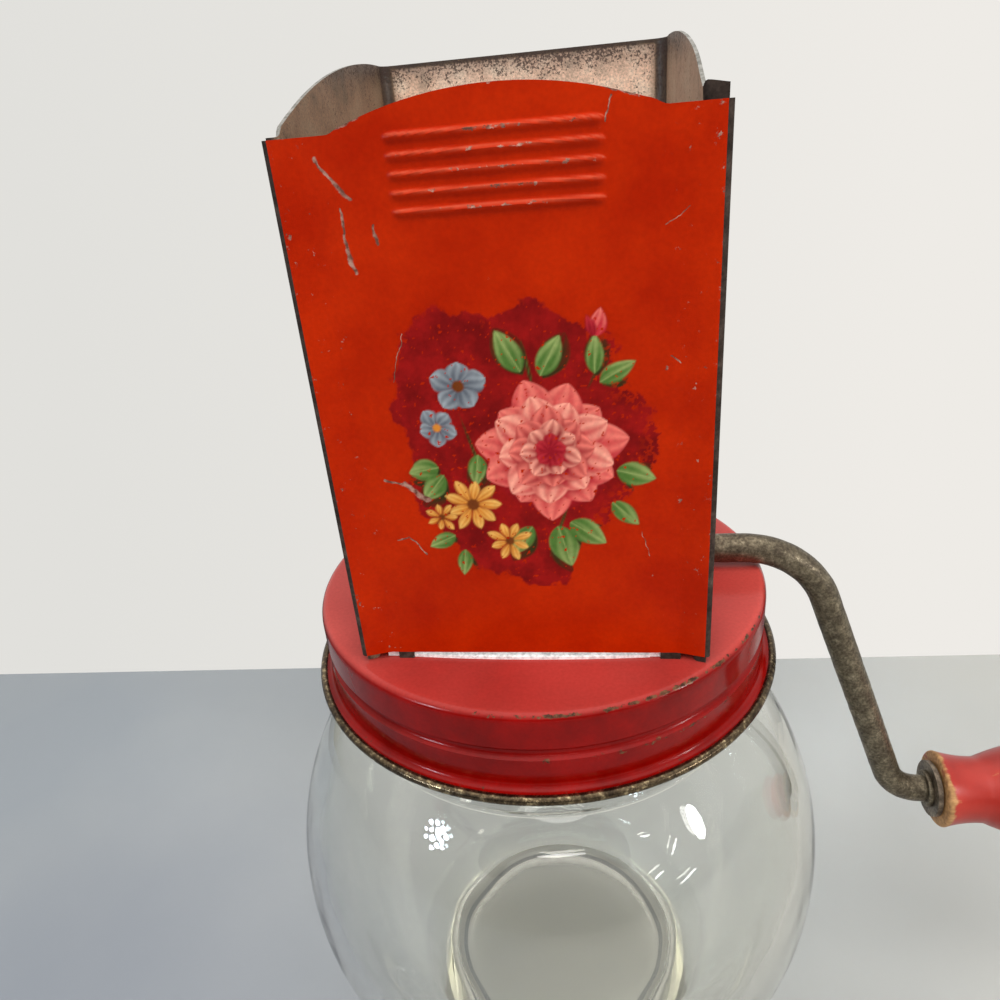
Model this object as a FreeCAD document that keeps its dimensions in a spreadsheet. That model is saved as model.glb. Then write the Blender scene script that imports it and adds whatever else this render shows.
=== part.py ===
import FreeCAD, Part
import os
import Sketcher

# Hand-crank nut chopper: a tinplate hopper on a tinplate screw lid, over a round glass jar.
# A bent steel rod carries a row of star cutters between two fixed combs.
# Frame: origin at the centre of the jar's foot ring, on the surface it stands on, +Z up,
# +X towards the crank, front panel facing -Y.  All sizes in millimetres.

# ---------------------------------------------------------------- driving dimensions
DRIVING = [
    # shared stock and clearances
    ("tin", 0.4, "thickness of the hopper and lid tinplate"),
    ("fold_gap", 0.05, "gap between two folded sheets"),
    ("slot_gap", 0.15, "gap round a tab in its slot"),
    ("run_gap", 0.06, "radial clearance of a turning fit"),
    ("end_gap", 0.3, "axial play of a turning piece"),
    ("cut_margin", 3.0, "how far a cut runs past the piece"),
    # glass jar
    ("jar_height", 93.7, "height of the jar's rim"),
    ("belly_radius", 45.4, "largest radius of the jar"),
    ("glass", 3.0, "thickness of the jar's wall"),
    ("foot_radius", 21.8, "outer radius of the flat foot ring"),
    ("foot_bore", 20.6, "inner radius of the foot ring"),
    ("punt_radius", 19.6, "radius of the raised disc under the jar"),
    ("punt_rise", 2.0, "height of the raised disc"),
    ("floor_height", 5.4, "height of the jar's inner floor"),
    ("floor_radius", 17.5, "radius of the flat inner floor"),
    ("foot_edge_radius", 23.7, "radius where the foot's rounding ends"),
    ("foot_edge_height", 2.0, "height where the foot's rounding ends"),
    ("foot_edge_arc", 2.6, "radius of that rounding"),
    ("heel_rise", 7.0, "least height of the heel above the foot's rounding"),
    ("heel_depth", 34.1, "distance of the heel below the belly's widest circle"),
    ("inner_heel_rise", 5.6, "least height of the inner heel above the inner floor"),
    ("inner_heel_depth", 32.1, "distance of the inner heel below the widest circle"),
    ("inner_heel_fullness", 1.2, "radius of the inner heel's profile over the chord it spans"),
    ("neck_length", 18.0, "length of the neck above the belly's sphere"),
    ("neck_fillet", 1.0, "hollow rounding between the neck and the belly"),
    ("neck_radius", 31.6, "outer radius of the neck under the thread"),
    ("neck_bore", 28.8, "inner radius of the neck"),
    ("rim_round", 1.2, "rounding of the rim's two edges"),
    # screw thread, the same pitch on the jar and in the lid
    ("thread_pitch", 4.2, "rise of the thread in one turn"),
    ("jar_thread_radius", 33.0, "crest radius of the thread on the neck"),
    ("jar_thread_root", 1.0, "half width of the neck thread at its root"),
    ("jar_thread_crest", 0.45, "half width of the neck thread at its crest"),
    ("jar_thread_turns", 1.5, "turns of thread on the neck"),
    ("thread_lift", 2.33, "height of the lid thread's start above the curl's middle"),
    ("lid_thread_radius", 32.3, "crest radius of the thread rolled into the lid"),
    ("lid_thread_root", 0.85, "half width of the lid thread at its root"),
    ("lid_thread_crest", 0.4, "half width of the lid thread at its crest"),
    ("lid_thread_turns", 0.6, "turns of thread in the lid"),
    ("thread_play", 0.2, "axial clearance between the two threads"),
    ("thread_groove", 0.75, "depth of the rolled groove outside the lid thread"),
    ("thread_bury", 0.4, "how deep the neck thread's root lies in the glass"),
    # liner ring
    ("liner_thickness", 0.8, "thickness of the paperboard ring in the lid"),
    ("liner_bore", 30.2, "inner radius of the ring"),
    ("liner_radius", 32.8, "outer radius of the ring"),
    # screw lid
    ("lid_radius", 34.26, "outer radius of the lid's skirt"),
    ("lid_round", 1.2, "rounding between the lid's disc and skirt"),
    ("step_drop", 6.1, "distance of the pressed groove below the lid's top"),
    ("step_half", 0.9, "half the width of that groove"),
    ("step_depth", 0.7, "depth of that groove"),
    ("curl_radius", 35.75, "radius of the middle of the curled edge"),
    ("curl_tube", 0.65, "radius of the curl itself"),
    ("curl_drop", 12.03, "distance of the curl's middle below the lid's top"),
    ("flare_rise", 1.45, "height above the curl's middle where the skirt starts to flare"),
    ("mouth_half_x", 18.4, "half length of the opening in the lid, along the shaft"),
    ("mouth_half_y", 15.5, "half width of the opening in the lid"),
    # hopper
    ("panel_half", 22.6, "half width of the front panel"),
    ("panel_face", 23.25, "distance of the front panel's face from the shaft"),
    ("back_face", 23.25, "distance of the back's outer face from the shaft"),
    ("wall_half", 21.1, "half width across the hopper's side walls"),
    ("corner_arc", 2.0, "outer bend radius at the back corners"),
    ("flange_width", 1.0, "width of the seam flanges beside the side walls"),
    ("crease_half", 18.6, "half distance between the front panel's creases"),
    ("wing_forward", 1.15, "how far the panel's edges stand forward at the foot"),
    ("panel_lift", 1.0, "gap between the front panel and the lid"),
    ("shoulder_height", 63.3, "height of the panel's shoulders above the lid"),
    ("arch_rise", 3.2, "height of the arch above the shoulders"),
    ("arch_half", 14.6, "half width of the arch"),
    ("arch_foot", 0.7, "height of the arch's ends above the shoulders"),
    ("arch_blend", 1.8, "length of the hollow curve at each end of the arch"),
    ("arch_hollow_arc", 2.7, "radius of that curve"),
    ("side_front_height", 64.2, "height of the side walls at the front, above the lid"),
    ("back_height", 72.6, "height of the hopper's back above the lid"),
    ("side_arc", 118.0, "radius of the curved top of the side walls"),
    ("rib_half", 10.5, "half length of an embossed rib"),
    ("rib_width", 0.65, "half width of an embossed rib"),
    ("rib_stand", 0.5, "how far a rib stands out"),
    ("rib_hollow", 0.4, "half width of the hollow behind a rib"),
    ("rib_taper_degrees", 40.0, "slope of a rib's sides, in degrees"),
    ("rib_pitch", 1.74, "distance from rib to rib"),
    ("rib_drop", 0.6, "distance of the first rib below the shoulders"),
    ("rib_count", 5, "number of ribs"),
    ("tab_half", 1.1, "half width of a fixing tab"),
    ("tab_fold", 2.2, "length of the folded end of a tab"),
    ("tab_x", 17.3, "place of the front and back tabs along the panel"),
    ("tab_y", 12.0, "place of the side walls' tabs"),
    # fixed combs
    ("comb_sheet", 0.6, "thickness of the combs"),
    ("comb_half", 18.9, "half length of a comb"),
    ("comb_rise", 7.0, "height of a comb's upright above the lid"),
    ("comb_slope_run", 17.6, "how far a comb reaches in from its upright"),
    ("comb_slope_drop", 8.4, "how far a comb falls over that reach"),
    ("comb_foot_sheet", 0.4, "thickness of the front comb's foot plate on the lid"),
    ("comb_foot_gap", 0.4, "gap between that plate and the panel's tabs"),
    ("comb_foot_reach", 0.15, "how far the plate's ends lie ahead of the upright"),
    ("comb_foot_bulge", 0.6, "how far the plate's curved front edge swells past its ends"),
    ("finger_length", 6.0, "length of a comb's fingers, seen from above"),
    ("cutter_side_gap", 1.0, "gap between a cutter and the fingers beside it"),
    ("comb_end_gap", 0.3, "gap between a comb's end fingers and the lid's opening"),
    # crank
    ("rod_radius", 2.2, "radius of the crank rod"),
    ("shaft_rise", 2.97, "height of the shaft above the lid"),
    ("shaft_end", 24.4, "how far the shaft reaches past the centre on the far side"),
    ("flat_depth", 0.5, "depth of the flat that drives the cutters"),
    ("corner_x", 40.46, "where the lines of shaft and arm cross"),
    ("arm_splay_degrees", 21.1, "lean of the arm away from the jar, in degrees"),
    ("arm_length", 52.0, "length of the arm between the two crossings"),
    ("shaft_bend", 14.0, "bend radius between shaft and arm"),
    ("pin_bend", 6.0, "bend radius between arm and knob pin"),
    ("collar_start", 5.0, "distance of the swaged collar from the second crossing"),
    ("collar_length", 0.8, "length of the swaged collar"),
    ("collar_radius", 3.0, "radius of the swaged collar"),
    ("head_radius", 3.3, "radius of the riveted head"),
    ("head_length", 1.3, "length of the riveted head"),
    ("head_land", 0.45, "length of the straight part of the head's edge"),
    ("head_round", 0.6, "how much smaller than the rod the head's crown is"),
    # rotor
    ("cutter_count", 6, "number of star cutters"),
    ("cutter_pitch", 6.0, "distance from cutter to cutter"),
    ("cutter_thickness", 1.0, "thickness of a cutter"),
    ("cutter_radius", 9.5, "radius to the tips of a cutter"),
    ("hub_radius", 3.9, "radius of a cutter's hub"),
    ("arm_bury", 0.6, "how far a cutter's arm reaches into its hub"),
    ("finger_root", 1.5, "half width of a cutter's arm at the hub"),
    ("finger_tip", 0.55, "half width of a cutter's arm at the tip"),
    ("cutter_arms", 4, "arms on one cutter"),
    ("cutter_twist_degrees", 45.0, "turn between a cutter and the next, in degrees"),
    ("spacer_radius", 2.85, "outer radius of a spacer tube"),
    ("bore_gap", 0.03, "clearance of cutters and spacers on the rod"),
    # knob
    ("knob_length", 30.0, "length of the wooden knob"),
    ("knob_radius", 8.6, "largest radius of the knob"),
    ("knob_neck", 5.4, "radius of the knob's waist"),
    ("knob_end", 6.2, "radius of the knob's inner end"),
    ("knob_face", 5.2, "radius of the knob's flat outer face"),
    ("knob_waist_arc", 20.0, "profile radius of the knob's waist"),
    ("knob_flank_arc", 40.0, "profile radius between waist and swell"),
    ("knob_crown_arc", 14.0, "profile radius beyond the swell"),
    ("knob_edge_arc", 3.0, "profile radius of the knob's outer edge"),
    ("knob_waist", 7.0, "distance of the waist from the inner end"),
    ("knob_swell", 20.0, "distance of the widest circle from the inner end"),
    ("knob_edge_run", 2.0, "length of the rounding at the outer end"),
    ("knob_edge_drop", 1.6, "fall of the profile where that rounding starts"),
    ("washer_thickness", 0.8, "thickness of a knob washer"),
    ("washer_radius", 4.6, "outer radius of a knob washer"),
]

# Sizes worked out from the driving ones, as formulas of the same sheet.
DERIVED = [
    # jar
    ("neck_foot", "jar_height - neck_length"),
    ("belly_height", "neck_foot - sqrt(pow(belly_radius; 2) - pow(neck_radius; 2))"),
    ("heel_height", "max(foot_edge_height + heel_rise; belly_height - heel_depth)"),
    ("heel_radius", "sqrt(pow(belly_radius; 2) - pow(belly_height - heel_height; 2))"),
    ("fillet_rise",
     "sqrt(pow(belly_radius + neck_fillet; 2) - pow(neck_radius + neck_fillet; 2))"),
    ("fillet_share", "belly_radius / (belly_radius + neck_fillet)"),
    ("jar_shoulder", "belly_height + fillet_rise * fillet_share"),
    ("jar_shoulder_radius", "(neck_radius + neck_fillet) * fillet_share"),
    ("fillet_top", "belly_height + fillet_rise"),
    ("inner_belly", "belly_radius - glass"),
    ("inner_heel_height",
     "max(floor_height + inner_heel_rise; belly_height - inner_heel_depth)"),
    ("inner_heel_radius",
     "sqrt(pow(inner_belly; 2) - pow(belly_height - inner_heel_height; 2))"),
    ("inner_heel_chord",
     "sqrt(pow(inner_heel_radius - floor_radius; 2) + pow(inner_heel_height - floor_height; 2))"),
    ("inner_heel_arc", "inner_heel_chord * inner_heel_fullness"),
    ("inner_neck_foot", "belly_height + sqrt(pow(inner_belly; 2) - pow(neck_bore; 2))"),
    ("rim_round_foot", "jar_height - rim_round"),
    ("rim_outer", "neck_radius - rim_round"),
    ("rim_inner", "neck_bore + rim_round"),
    # lid heights
    ("liner_top", "jar_height + liner_thickness"),
    ("lid_top", "liner_top + tin"),
    ("curl_height", "lid_top - curl_drop"),
    ("step_height", "lid_top - step_drop"),
    # threads
    ("lid_thread_height", "curl_height + thread_lift"),
    ("jar_thread_height",
     "lid_thread_height - lid_thread_root - jar_thread_root - thread_play"),
    ("jar_thread_inside", "neck_radius - thread_bury"),
    ("jar_root_low", "jar_thread_height - jar_thread_root"),
    ("jar_root_high", "jar_thread_height + jar_thread_root"),
    ("jar_crest_low", "jar_thread_height - jar_thread_crest"),
    ("jar_crest_high", "jar_thread_height + jar_thread_crest"),
    ("jar_thread_rise", "thread_pitch * jar_thread_turns"),
    ("lid_bore", "lid_radius - tin"),
    ("lid_thread_inside", "lid_bore + tin / 2"),
    ("lid_root_low", "lid_thread_height - lid_thread_root"),
    ("lid_root_high", "lid_thread_height + lid_thread_root"),
    ("lid_crest_low", "lid_thread_height - lid_thread_crest"),
    ("lid_crest_high", "lid_thread_height + lid_thread_crest"),
    ("lid_thread_rise", "thread_pitch * lid_thread_turns"),
    ("groove_floor", "lid_radius - thread_groove"),
    ("groove_mouth", "lid_radius + tin"),
    # lid
    ("disc_edge", "lid_radius - lid_round"),
    ("skirt_top", "lid_top - lid_round"),
    ("step_top", "step_height + step_half"),
    ("step_foot", "step_height - step_half"),
    ("step_arc", "(pow(step_half; 2) + pow(step_depth; 2)) / (2 * step_depth)"),
    ("inner_step_half", "step_half + tin / 2"),
    ("inner_step_top", "step_height + inner_step_half"),
    ("inner_step_foot", "step_height - inner_step_half"),
    ("inner_step_arc", "(pow(inner_step_half; 2) + pow(step_depth; 2)) / (2 * step_depth)"),
    ("curl_join_x", "curl_radius - curl_tube * cos(45)"),
    ("curl_join_z", "curl_height + curl_tube * sin(45)"),
    ("flare_top", "curl_height + flare_rise"),
    ("flare_reach", "curl_join_x - lid_radius"),
    ("flare_arc",
     "(pow(flare_reach; 2) + pow(flare_top - curl_join_z; 2)) / (2 * flare_reach)"),
    ("curl_outer", "curl_radius + curl_tube"),
    ("curl_foot", "curl_height - curl_tube"),
    ("curl_turn_in", "curl_radius - lid_bore"),
    ("curl_inner_top", "curl_foot + curl_turn_in"),
    ("inner_round", "lid_round - tin"),
    ("inner_disc_edge", "lid_bore - inner_round"),
    ("inner_skirt_top", "liner_top - inner_round"),
    # front panel
    ("panel_foot", "lid_top + panel_lift"),
    ("panel_inner", "panel_face - tin"),
    ("flange_front", "panel_inner - fold_gap"),
    ("flange_back", "flange_front - tin"),
    ("hem_front", "flange_back - fold_gap"),
    ("hem_back", "hem_front - tin"),
    ("flange_tip", "wall_half + flange_width"),
    ("web_inner", "panel_half - tin"),
    ("hem_end", "wall_half + 2 * fold_gap"),
    ("wrap_top", "lid_top + back_height"),
    ("splay_run", "panel_half - crease_half"),
    ("panel_splay", "wing_forward * (wrap_top - panel_foot) / back_height"),
    ("splay_web", "panel_splay * (web_inner - crease_half) / splay_run"),
    ("splay_hem", "panel_splay * (hem_end - crease_half) / splay_run"),
    ("foot_edge_face", "panel_face + panel_splay"),
    ("foot_edge_back", "hem_back + panel_splay"),
    ("foot_hem_back", "hem_back + splay_hem"),
    ("foot_hem_front", "hem_front + splay_hem"),
    ("foot_web_back", "hem_front + splay_web"),
    ("foot_web_front", "panel_inner + splay_web"),
    ("shoulder_top", "lid_top + shoulder_height"),
    ("arch_end_top", "shoulder_top + arch_foot"),
    ("arch_sag", "arch_rise - arch_foot"),
    ("arch_arc", "(pow(arch_half; 2) + pow(arch_sag; 2)) / (2 * arch_sag)"),
    ("shoulder_end", "arch_half + arch_blend"),
    ("rib_top", "shoulder_top - rib_drop"),
    ("rib_span", "rib_pitch * (rib_count - 1)"),
    ("rib_straight", "rib_half - rib_width"),
    # hopper wrap
    ("wall_inner", "wall_half - tin"),
    ("splay_tip", "wing_forward * (flange_tip - crease_half) / splay_run"),
    ("splay_wall", "wing_forward * (wall_half - crease_half) / splay_run"),
    ("splay_root", "wing_forward * (wall_inner - crease_half) / splay_run"),
    ("back_inner", "back_face - tin"),
    ("corner_x_start", "wall_half - corner_arc"),
    ("corner_y_start", "back_face - corner_arc"),
    ("corner_inner_arc", "corner_arc - tin"),
    ("foot_flange_front", "flange_front + splay_tip"),
    ("foot_flange_back", "flange_back + splay_tip"),
    ("foot_root_front", "flange_front + splay_root"),
    ("foot_root_back", "flange_back + splay_wall"),
    ("side_front_top", "lid_top + side_front_height"),
    ("cut_reach", "panel_face + wing_forward + cut_margin"),
    ("cut_top", "wrap_top + cut_margin"),
    # tabs
    ("tab_under", "liner_top - fold_gap"),
    ("tab_low", "tab_under - tin"),
    ("tab_start", "panel_foot + tin"),
    ("front_tab_fold", "panel_face - tab_fold"),
    ("back_tab_fold", "back_face - tab_fold"),
    ("side_tab_fold", "wall_half - tab_fold"),
    ("slot_half", "tab_half + slot_gap"),
    ("slot_left", "tab_x - slot_half"),
    ("slot_right", "tab_x + slot_half"),
    ("slot_front", "panel_face + slot_gap"),
    ("slot_front_in", "panel_inner - slot_gap"),
    ("slot_back", "back_face + slot_gap"),
    ("slot_back_in", "back_inner - slot_gap"),
    ("slot_low", "tab_y - slot_half"),
    ("slot_high", "tab_y + slot_half"),
    ("slot_side", "wall_half + slot_gap"),
    ("slot_side_in", "wall_inner - slot_gap"),
    # combs, drawn for the front one
    ("comb_face", "panel_inner - 2 * fold_gap"),
    ("comb_inner", "comb_face - comb_sheet"),
    ("comb_foot_half", "tab_x - tab_half - comb_foot_gap"),
    ("comb_foot_end", "comb_face + comb_foot_reach"),
    ("comb_foot_arc",
     "(pow(comb_foot_half; 2) + pow(comb_foot_bulge; 2)) / (2 * comb_foot_bulge)"),
    ("comb_top", "lid_top + comb_rise"),
    ("comb_bend", "comb_top - comb_sheet"),
    ("comb_tip", "comb_face - comb_slope_run"),
    ("comb_tip_top", "comb_top - comb_slope_drop"),
    ("comb_run", "comb_inner - comb_tip"),
    ("comb_slant", "sqrt(pow(comb_run; 2) + pow(comb_slope_drop; 2)) / comb_run"),
    ("comb_tip_low", "comb_tip_top - comb_sheet * comb_slant"),
    ("finger_start", "comb_tip + finger_length"),
    ("comb_notch_end", "comb_tip - cut_margin"),
    ("comb_end_cut", "mouth_half_x - comb_end_gap"),
    ("comb_end_over", "comb_half + cut_margin"),
    # rotor
    ("shaft_height", "lid_top + shaft_rise"),
    ("bearing_bore", "rod_radius + run_gap"),
    ("rotor_half", "cutter_pitch * (cutter_count - 1) / 2"),
    ("first_cutter", "0 - rotor_half - cutter_thickness / 2"),
    ("notch_outer", "rotor_half + cutter_thickness / 2 + cutter_side_gap"),
    ("notch_inner", "rotor_half - cutter_thickness / 2 - cutter_side_gap"),
    ("notch_span", "cutter_pitch * (cutter_count - 1)"),
    ("spacer_length", "cutter_pitch - cutter_thickness"),
    ("end_spacer_length", "wall_inner - end_gap - rotor_half - cutter_thickness / 2"),
    ("end_spacer_start", "rotor_half + cutter_thickness / 2"),
    ("end_spacer_finish", "end_spacer_start + end_spacer_length"),
    ("fit_bore", "rod_radius + bore_gap"),
    ("flat_place", "rod_radius - flat_depth"),
    ("fit_flat", "flat_place + bore_gap"),
    ("fit_flat_half", "sqrt(pow(fit_bore; 2) - pow(fit_flat; 2))"),
    ("arm_start", "hub_radius - arm_bury"),
    # crank rod, in the rod's own frame with the shaft along X
    ("flat_end", "end_spacer_start"),
    ("flat_left", "shaft_end + cut_margin"),
    ("flat_top", "rod_radius + cut_margin"),
    ("shaft_tangent", "shaft_bend * tan((90 - arm_splay_degrees) / 2)"),
    ("pin_tangent", "pin_bend * tan((90 - arm_splay_degrees) / 2)"),
    ("bend_start", "corner_x - shaft_tangent"),
    ("bend_end_x", "corner_x + shaft_tangent * sin(arm_splay_degrees)"),
    ("bend_end_drop", "shaft_tangent * cos(arm_splay_degrees)"),
    ("pin_corner_x", "corner_x + arm_length * sin(arm_splay_degrees)"),
    ("pin_drop", "arm_length * cos(arm_splay_degrees)"),
    ("pin_bend_x", "pin_corner_x - pin_tangent * sin(arm_splay_degrees)"),
    ("pin_bend_drop", "pin_drop - pin_tangent * cos(arm_splay_degrees)"),
    ("pin_start", "pin_corner_x + pin_tangent"),
    ("collar_x", "pin_corner_x + collar_start"),
    ("collar_end", "collar_x + collar_length"),
    ("knob_start", "collar_end + washer_thickness + end_gap"),
    ("knob_finish", "knob_start + knob_length"),
    ("outer_washer_x", "knob_finish + end_gap"),
    ("head_x", "outer_washer_x + washer_thickness"),
    ("pin_finish", "head_x + head_length"),
    ("head_rim", "head_x + head_land"),
    ("head_crown", "rod_radius - head_round"),
    ("pin_height", "shaft_height - pin_drop"),
    ("washer_bore", "rod_radius + bore_gap"),
    ("knob_bore", "rod_radius + run_gap"),
    ("knob_edge", "knob_length - knob_edge_run"),
    ("knob_edge_radius", "knob_radius - knob_edge_drop"),
]

SHEET = "Sizes"
document = FreeCAD.newDocument("NutChopper")
sheet = document.addObject("Spreadsheet::Sheet", SHEET)


def fill_sheet():
    """Write the driving values and the formulas, one aliased cell to a row."""
    row = 1
    for name, value, note in DRIVING:
        sheet.set("A%d" % row, name)
        sheet.set("B%d" % row, str(value))
        sheet.setAlias("B%d" % row, name)
        sheet.set("C%d" % row, note)
        row += 1
    for name, formula in DERIVED:
        sheet.set("A%d" % row, name)
        sheet.set("B%d" % row, "=" + formula)
        sheet.setAlias("B%d" % row, name)
        row += 1
    document.recompute()


def size(name):
    """Value of a size; 0 stands for zero and a leading minus turns the sign."""
    if name == 0:
        return 0.0
    if name.startswith("-"):
        return -float(sheet.get(name[1:]))
    return float(sheet.get(name))


def formula(name):
    """The same size as an expression for a bound property."""
    if name.startswith("-"):
        return "-%s.%s" % (SHEET, name[1:])
    return "%s.%s" % (SHEET, name)


def bind(item, path, name):
    """Tie a property of a feature to a size."""
    item.setExpression(path, formula(name))


# ---------------------------------------------------------------- sketch helpers
def new_body(label, x=0, y=0, z=0):
    """A body with its own label, placed by sizes."""
    body = document.addObject("PartDesign::Body", label)
    body.Label = label
    for axis, name in (("x", x), ("y", y), ("z", z)):
        if name != 0:
            bind(body, "Placement.Base." + axis, name)
    return body


def new_sketch(body, role, name, lift=0, shift=0, turn=0.0):
    """A sketch on one of the body's own planes, lifted along the plane's normal."""
    sketch = body.newObject("Sketcher::SketchObject", name)
    plane = [item for item in body.Origin.OriginFeatures if item.Role == role][0]
    sketch.AttachmentSupport = (plane, [""])
    sketch.MapMode = "FlatFace"
    rotation = FreeCAD.Rotation(FreeCAD.Vector(0, 0, 1), turn)
    shifted = FreeCAD.Vector(0, size(shift), size(lift))
    sketch.AttachmentOffset = FreeCAD.Placement(shifted, rotation)
    if lift != 0:
        bind(sketch, "AttachmentOffset.Base.z", lift)
    if shift != 0:
        bind(sketch, "AttachmentOffset.Base.y", shift)
    return sketch


def pin_point(sketch, edge, end, x, y):
    """Hold one end of an edge at a place given by two sizes."""
    for kind, name, axis in (("DistanceX", x, -2), ("DistanceY", y, -1)):
        if name == 0:
            sketch.addConstraint(Sketcher.Constraint("PointOnObject", edge, end, axis))
            continue
        value = size(name)
        if value < 0:
            index = sketch.addConstraint(Sketcher.Constraint(kind, edge, end, -1, 1, -value))
            expression = "-(%s)" % formula(name)
        else:
            index = sketch.addConstraint(Sketcher.Constraint(kind, -1, 1, edge, end, value))
            expression = formula(name)
        sketch.setExpression("Constraints[%d]" % index, expression)


def arc_edge(start, finish, radius, turn):
    """The short arc between two points that turns left or right as it is walked."""
    chord = finish - start
    half = chord.Length / 2.0
    height = max(radius * radius - half * half, 0.0) ** 0.5
    left = FreeCAD.Vector(-chord.y, chord.x, 0).normalize()
    side = 1.0 if turn == "left" else -1.0
    centre = start + chord * 0.5 + left * (side * height)
    middle = centre - left * (side * radius)
    return Part.Arc(start, middle, finish)


def outline(sketch, corners, closed=True):
    """Draw a profile through corners (x, y); (x, y, radius, turn) is reached by an arc."""
    points = [FreeCAD.Vector(size(corner[0]), size(corner[1]), 0) for corner in corners]
    count = len(points)
    steps = count if closed else count - 1
    ends = []
    for index in range(steps):
        target = (index + 1) % count
        bend = corners[target][2:]
        if bend:
            edge = sketch.addGeometry(arc_edge(points[index], points[target],
                                               size(bend[0]), bend[1]), False)
            begin, finish = (1, 2) if bend[1] == "left" else (2, 1)
        else:
            edge = sketch.addGeometry(Part.LineSegment(points[index], points[target]), False)
            begin, finish = 1, 2
        ends.append((edge, begin, finish, bend))
    for index, (edge, begin, finish, bend) in enumerate(ends):
        if index + 1 < len(ends) or closed:
            follower = ends[(index + 1) % len(ends)]
            sketch.addConstraint(Sketcher.Constraint("Coincident", edge, finish,
                                                     follower[0], follower[1]))
        pin_point(sketch, edge, begin, corners[index][0], corners[index][1])
        if bend:
            radius = sketch.addConstraint(Sketcher.Constraint("Radius", edge, size(bend[0])))
            sketch.setExpression("Constraints[%d]" % radius, formula(bend[0]))
    if not closed:
        edge, begin, finish, bend = ends[-1]
        pin_point(sketch, edge, finish, corners[-1][0], corners[-1][1])


def box_outline(sketch, left, low, right, high):
    """A rectangle between two corners."""
    outline(sketch, [(left, low), (right, low), (right, high), (left, high)])


def circle_outline(sketch, x, y, radius):
    """A full circle with its centre and radius held by sizes."""
    centre = FreeCAD.Vector(size(x), size(y), 0)
    normal = FreeCAD.Vector(0, 0, 1)
    edge = sketch.addGeometry(Part.Circle(centre, normal, size(radius)), False)
    if x == 0 and y == 0:
        sketch.addConstraint(Sketcher.Constraint("Coincident", edge, 3, -1, 1))
    else:
        pin_point(sketch, edge, 3, x, y)
    index = sketch.addConstraint(Sketcher.Constraint("Radius", edge, size(radius)))
    sketch.setExpression("Constraints[%d]" % index, formula(radius))


# ---------------------------------------------------------------- feature helpers
def feature(body, kind, name, sketch):
    """A sketch-based feature of the body."""
    made = body.newObject("PartDesign::" + kind, name)
    made.Profile = sketch
    sketch.Visibility = False
    return made


def revolve(body, sketch, name, axis="V_Axis"):
    """Turn a profile all the way round one of its sketch's axes."""
    made = feature(body, "Revolution", name, sketch)
    made.ReferenceAxis = (sketch, [axis])
    made.Angle = 360.0
    return made


def pad(body, sketch, name, length, both_sides=False):
    """Pad a profile by a length, or by that length to each side of its plane."""
    made = feature(body, "Pad", name, sketch)
    made.Length = size(length)
    bind(made, "Length", length)
    if both_sides:
        made.SideType = "Two sides"
        bind(made, "Length2", length)
    return made


def cut_through(body, sketch, name):
    """Cut a profile right through, both ways from its plane."""
    made = feature(body, "Pocket", name, sketch)
    made.SideType = "Symmetric"
    made.Type = "ThroughAll"
    return made


def helix(body, kind, sketch, name, rise):
    """A screw thread about the vertical axis, right-handed."""
    made = feature(body, kind, name, sketch)
    made.ReferenceAxis = (sketch, ["V_Axis"])
    made.Mode = "pitch-height-angle"
    bind(made, "Pitch", "thread_pitch")
    bind(made, "Height", rise)
    made.Angle = 0.0
    return made


def loft(body, name, lower, upper):
    """A ruled sheet between two profiles with the same corners."""
    made = feature(body, "AdditiveLoft", name, lower)
    made.Sections = [upper]
    made.Ruled = True
    upper.Visibility = False
    return made


def mirror(body, originals, role, name):
    """The same features again on the other side of one of the body's planes."""
    made = body.newObject("PartDesign::Mirrored", name)
    made.Originals = originals
    plane = [item for item in body.Origin.OriginFeatures if item.Role == role][0]
    made.MirrorPlane = (plane, [""])
    body.Tip = made
    return made


# ---------------------------------------------------------------- jar and lid
def make_glass_jar():
    body = new_body("glass_jar")
    profile = new_sketch(body, "XZ_Plane", "JarProfile")
    outline(profile, [
        (0, "punt_rise"),
        ("punt_radius", "punt_rise"),
        ("foot_bore", 0),
        ("foot_radius", 0),
        ("foot_edge_radius", "foot_edge_height", "foot_edge_arc", "left"),
        ("heel_radius", "heel_height"),
        ("jar_shoulder_radius", "jar_shoulder", "belly_radius", "left"),
        ("neck_radius", "fillet_top", "neck_fillet", "right"),
        ("neck_radius", "rim_round_foot"),
        ("rim_outer", "jar_height", "rim_round", "left"),
        ("rim_inner", "jar_height"),
        ("neck_bore", "rim_round_foot", "rim_round", "left"),
        ("neck_bore", "inner_neck_foot"),
        ("inner_heel_radius", "inner_heel_height", "inner_belly", "right"),
        ("floor_radius", "floor_height", "inner_heel_arc", "right"),
        (0, "floor_height"),
    ])
    revolve(body, profile, "JarGlass")
    thread = new_sketch(body, "XZ_Plane", "JarThreadProfile")
    outline(thread, [
        ("jar_thread_inside", "jar_root_low"),
        ("jar_thread_radius", "jar_crest_low"),
        ("jar_thread_radius", "jar_crest_high"),
        ("jar_thread_inside", "jar_root_high"),
    ])
    helix(body, "AdditiveHelix", thread, "JarThread", "jar_thread_rise")
    return body


def make_liner_ring():
    body = new_body("liner_ring", z="jar_height")
    ring = new_sketch(body, "XY_Plane", "LinerRing")
    circle_outline(ring, 0, 0, "liner_radius")
    circle_outline(ring, 0, 0, "liner_bore")
    pad(body, ring, "LinerBoard", "liner_thickness")
    return body


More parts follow.
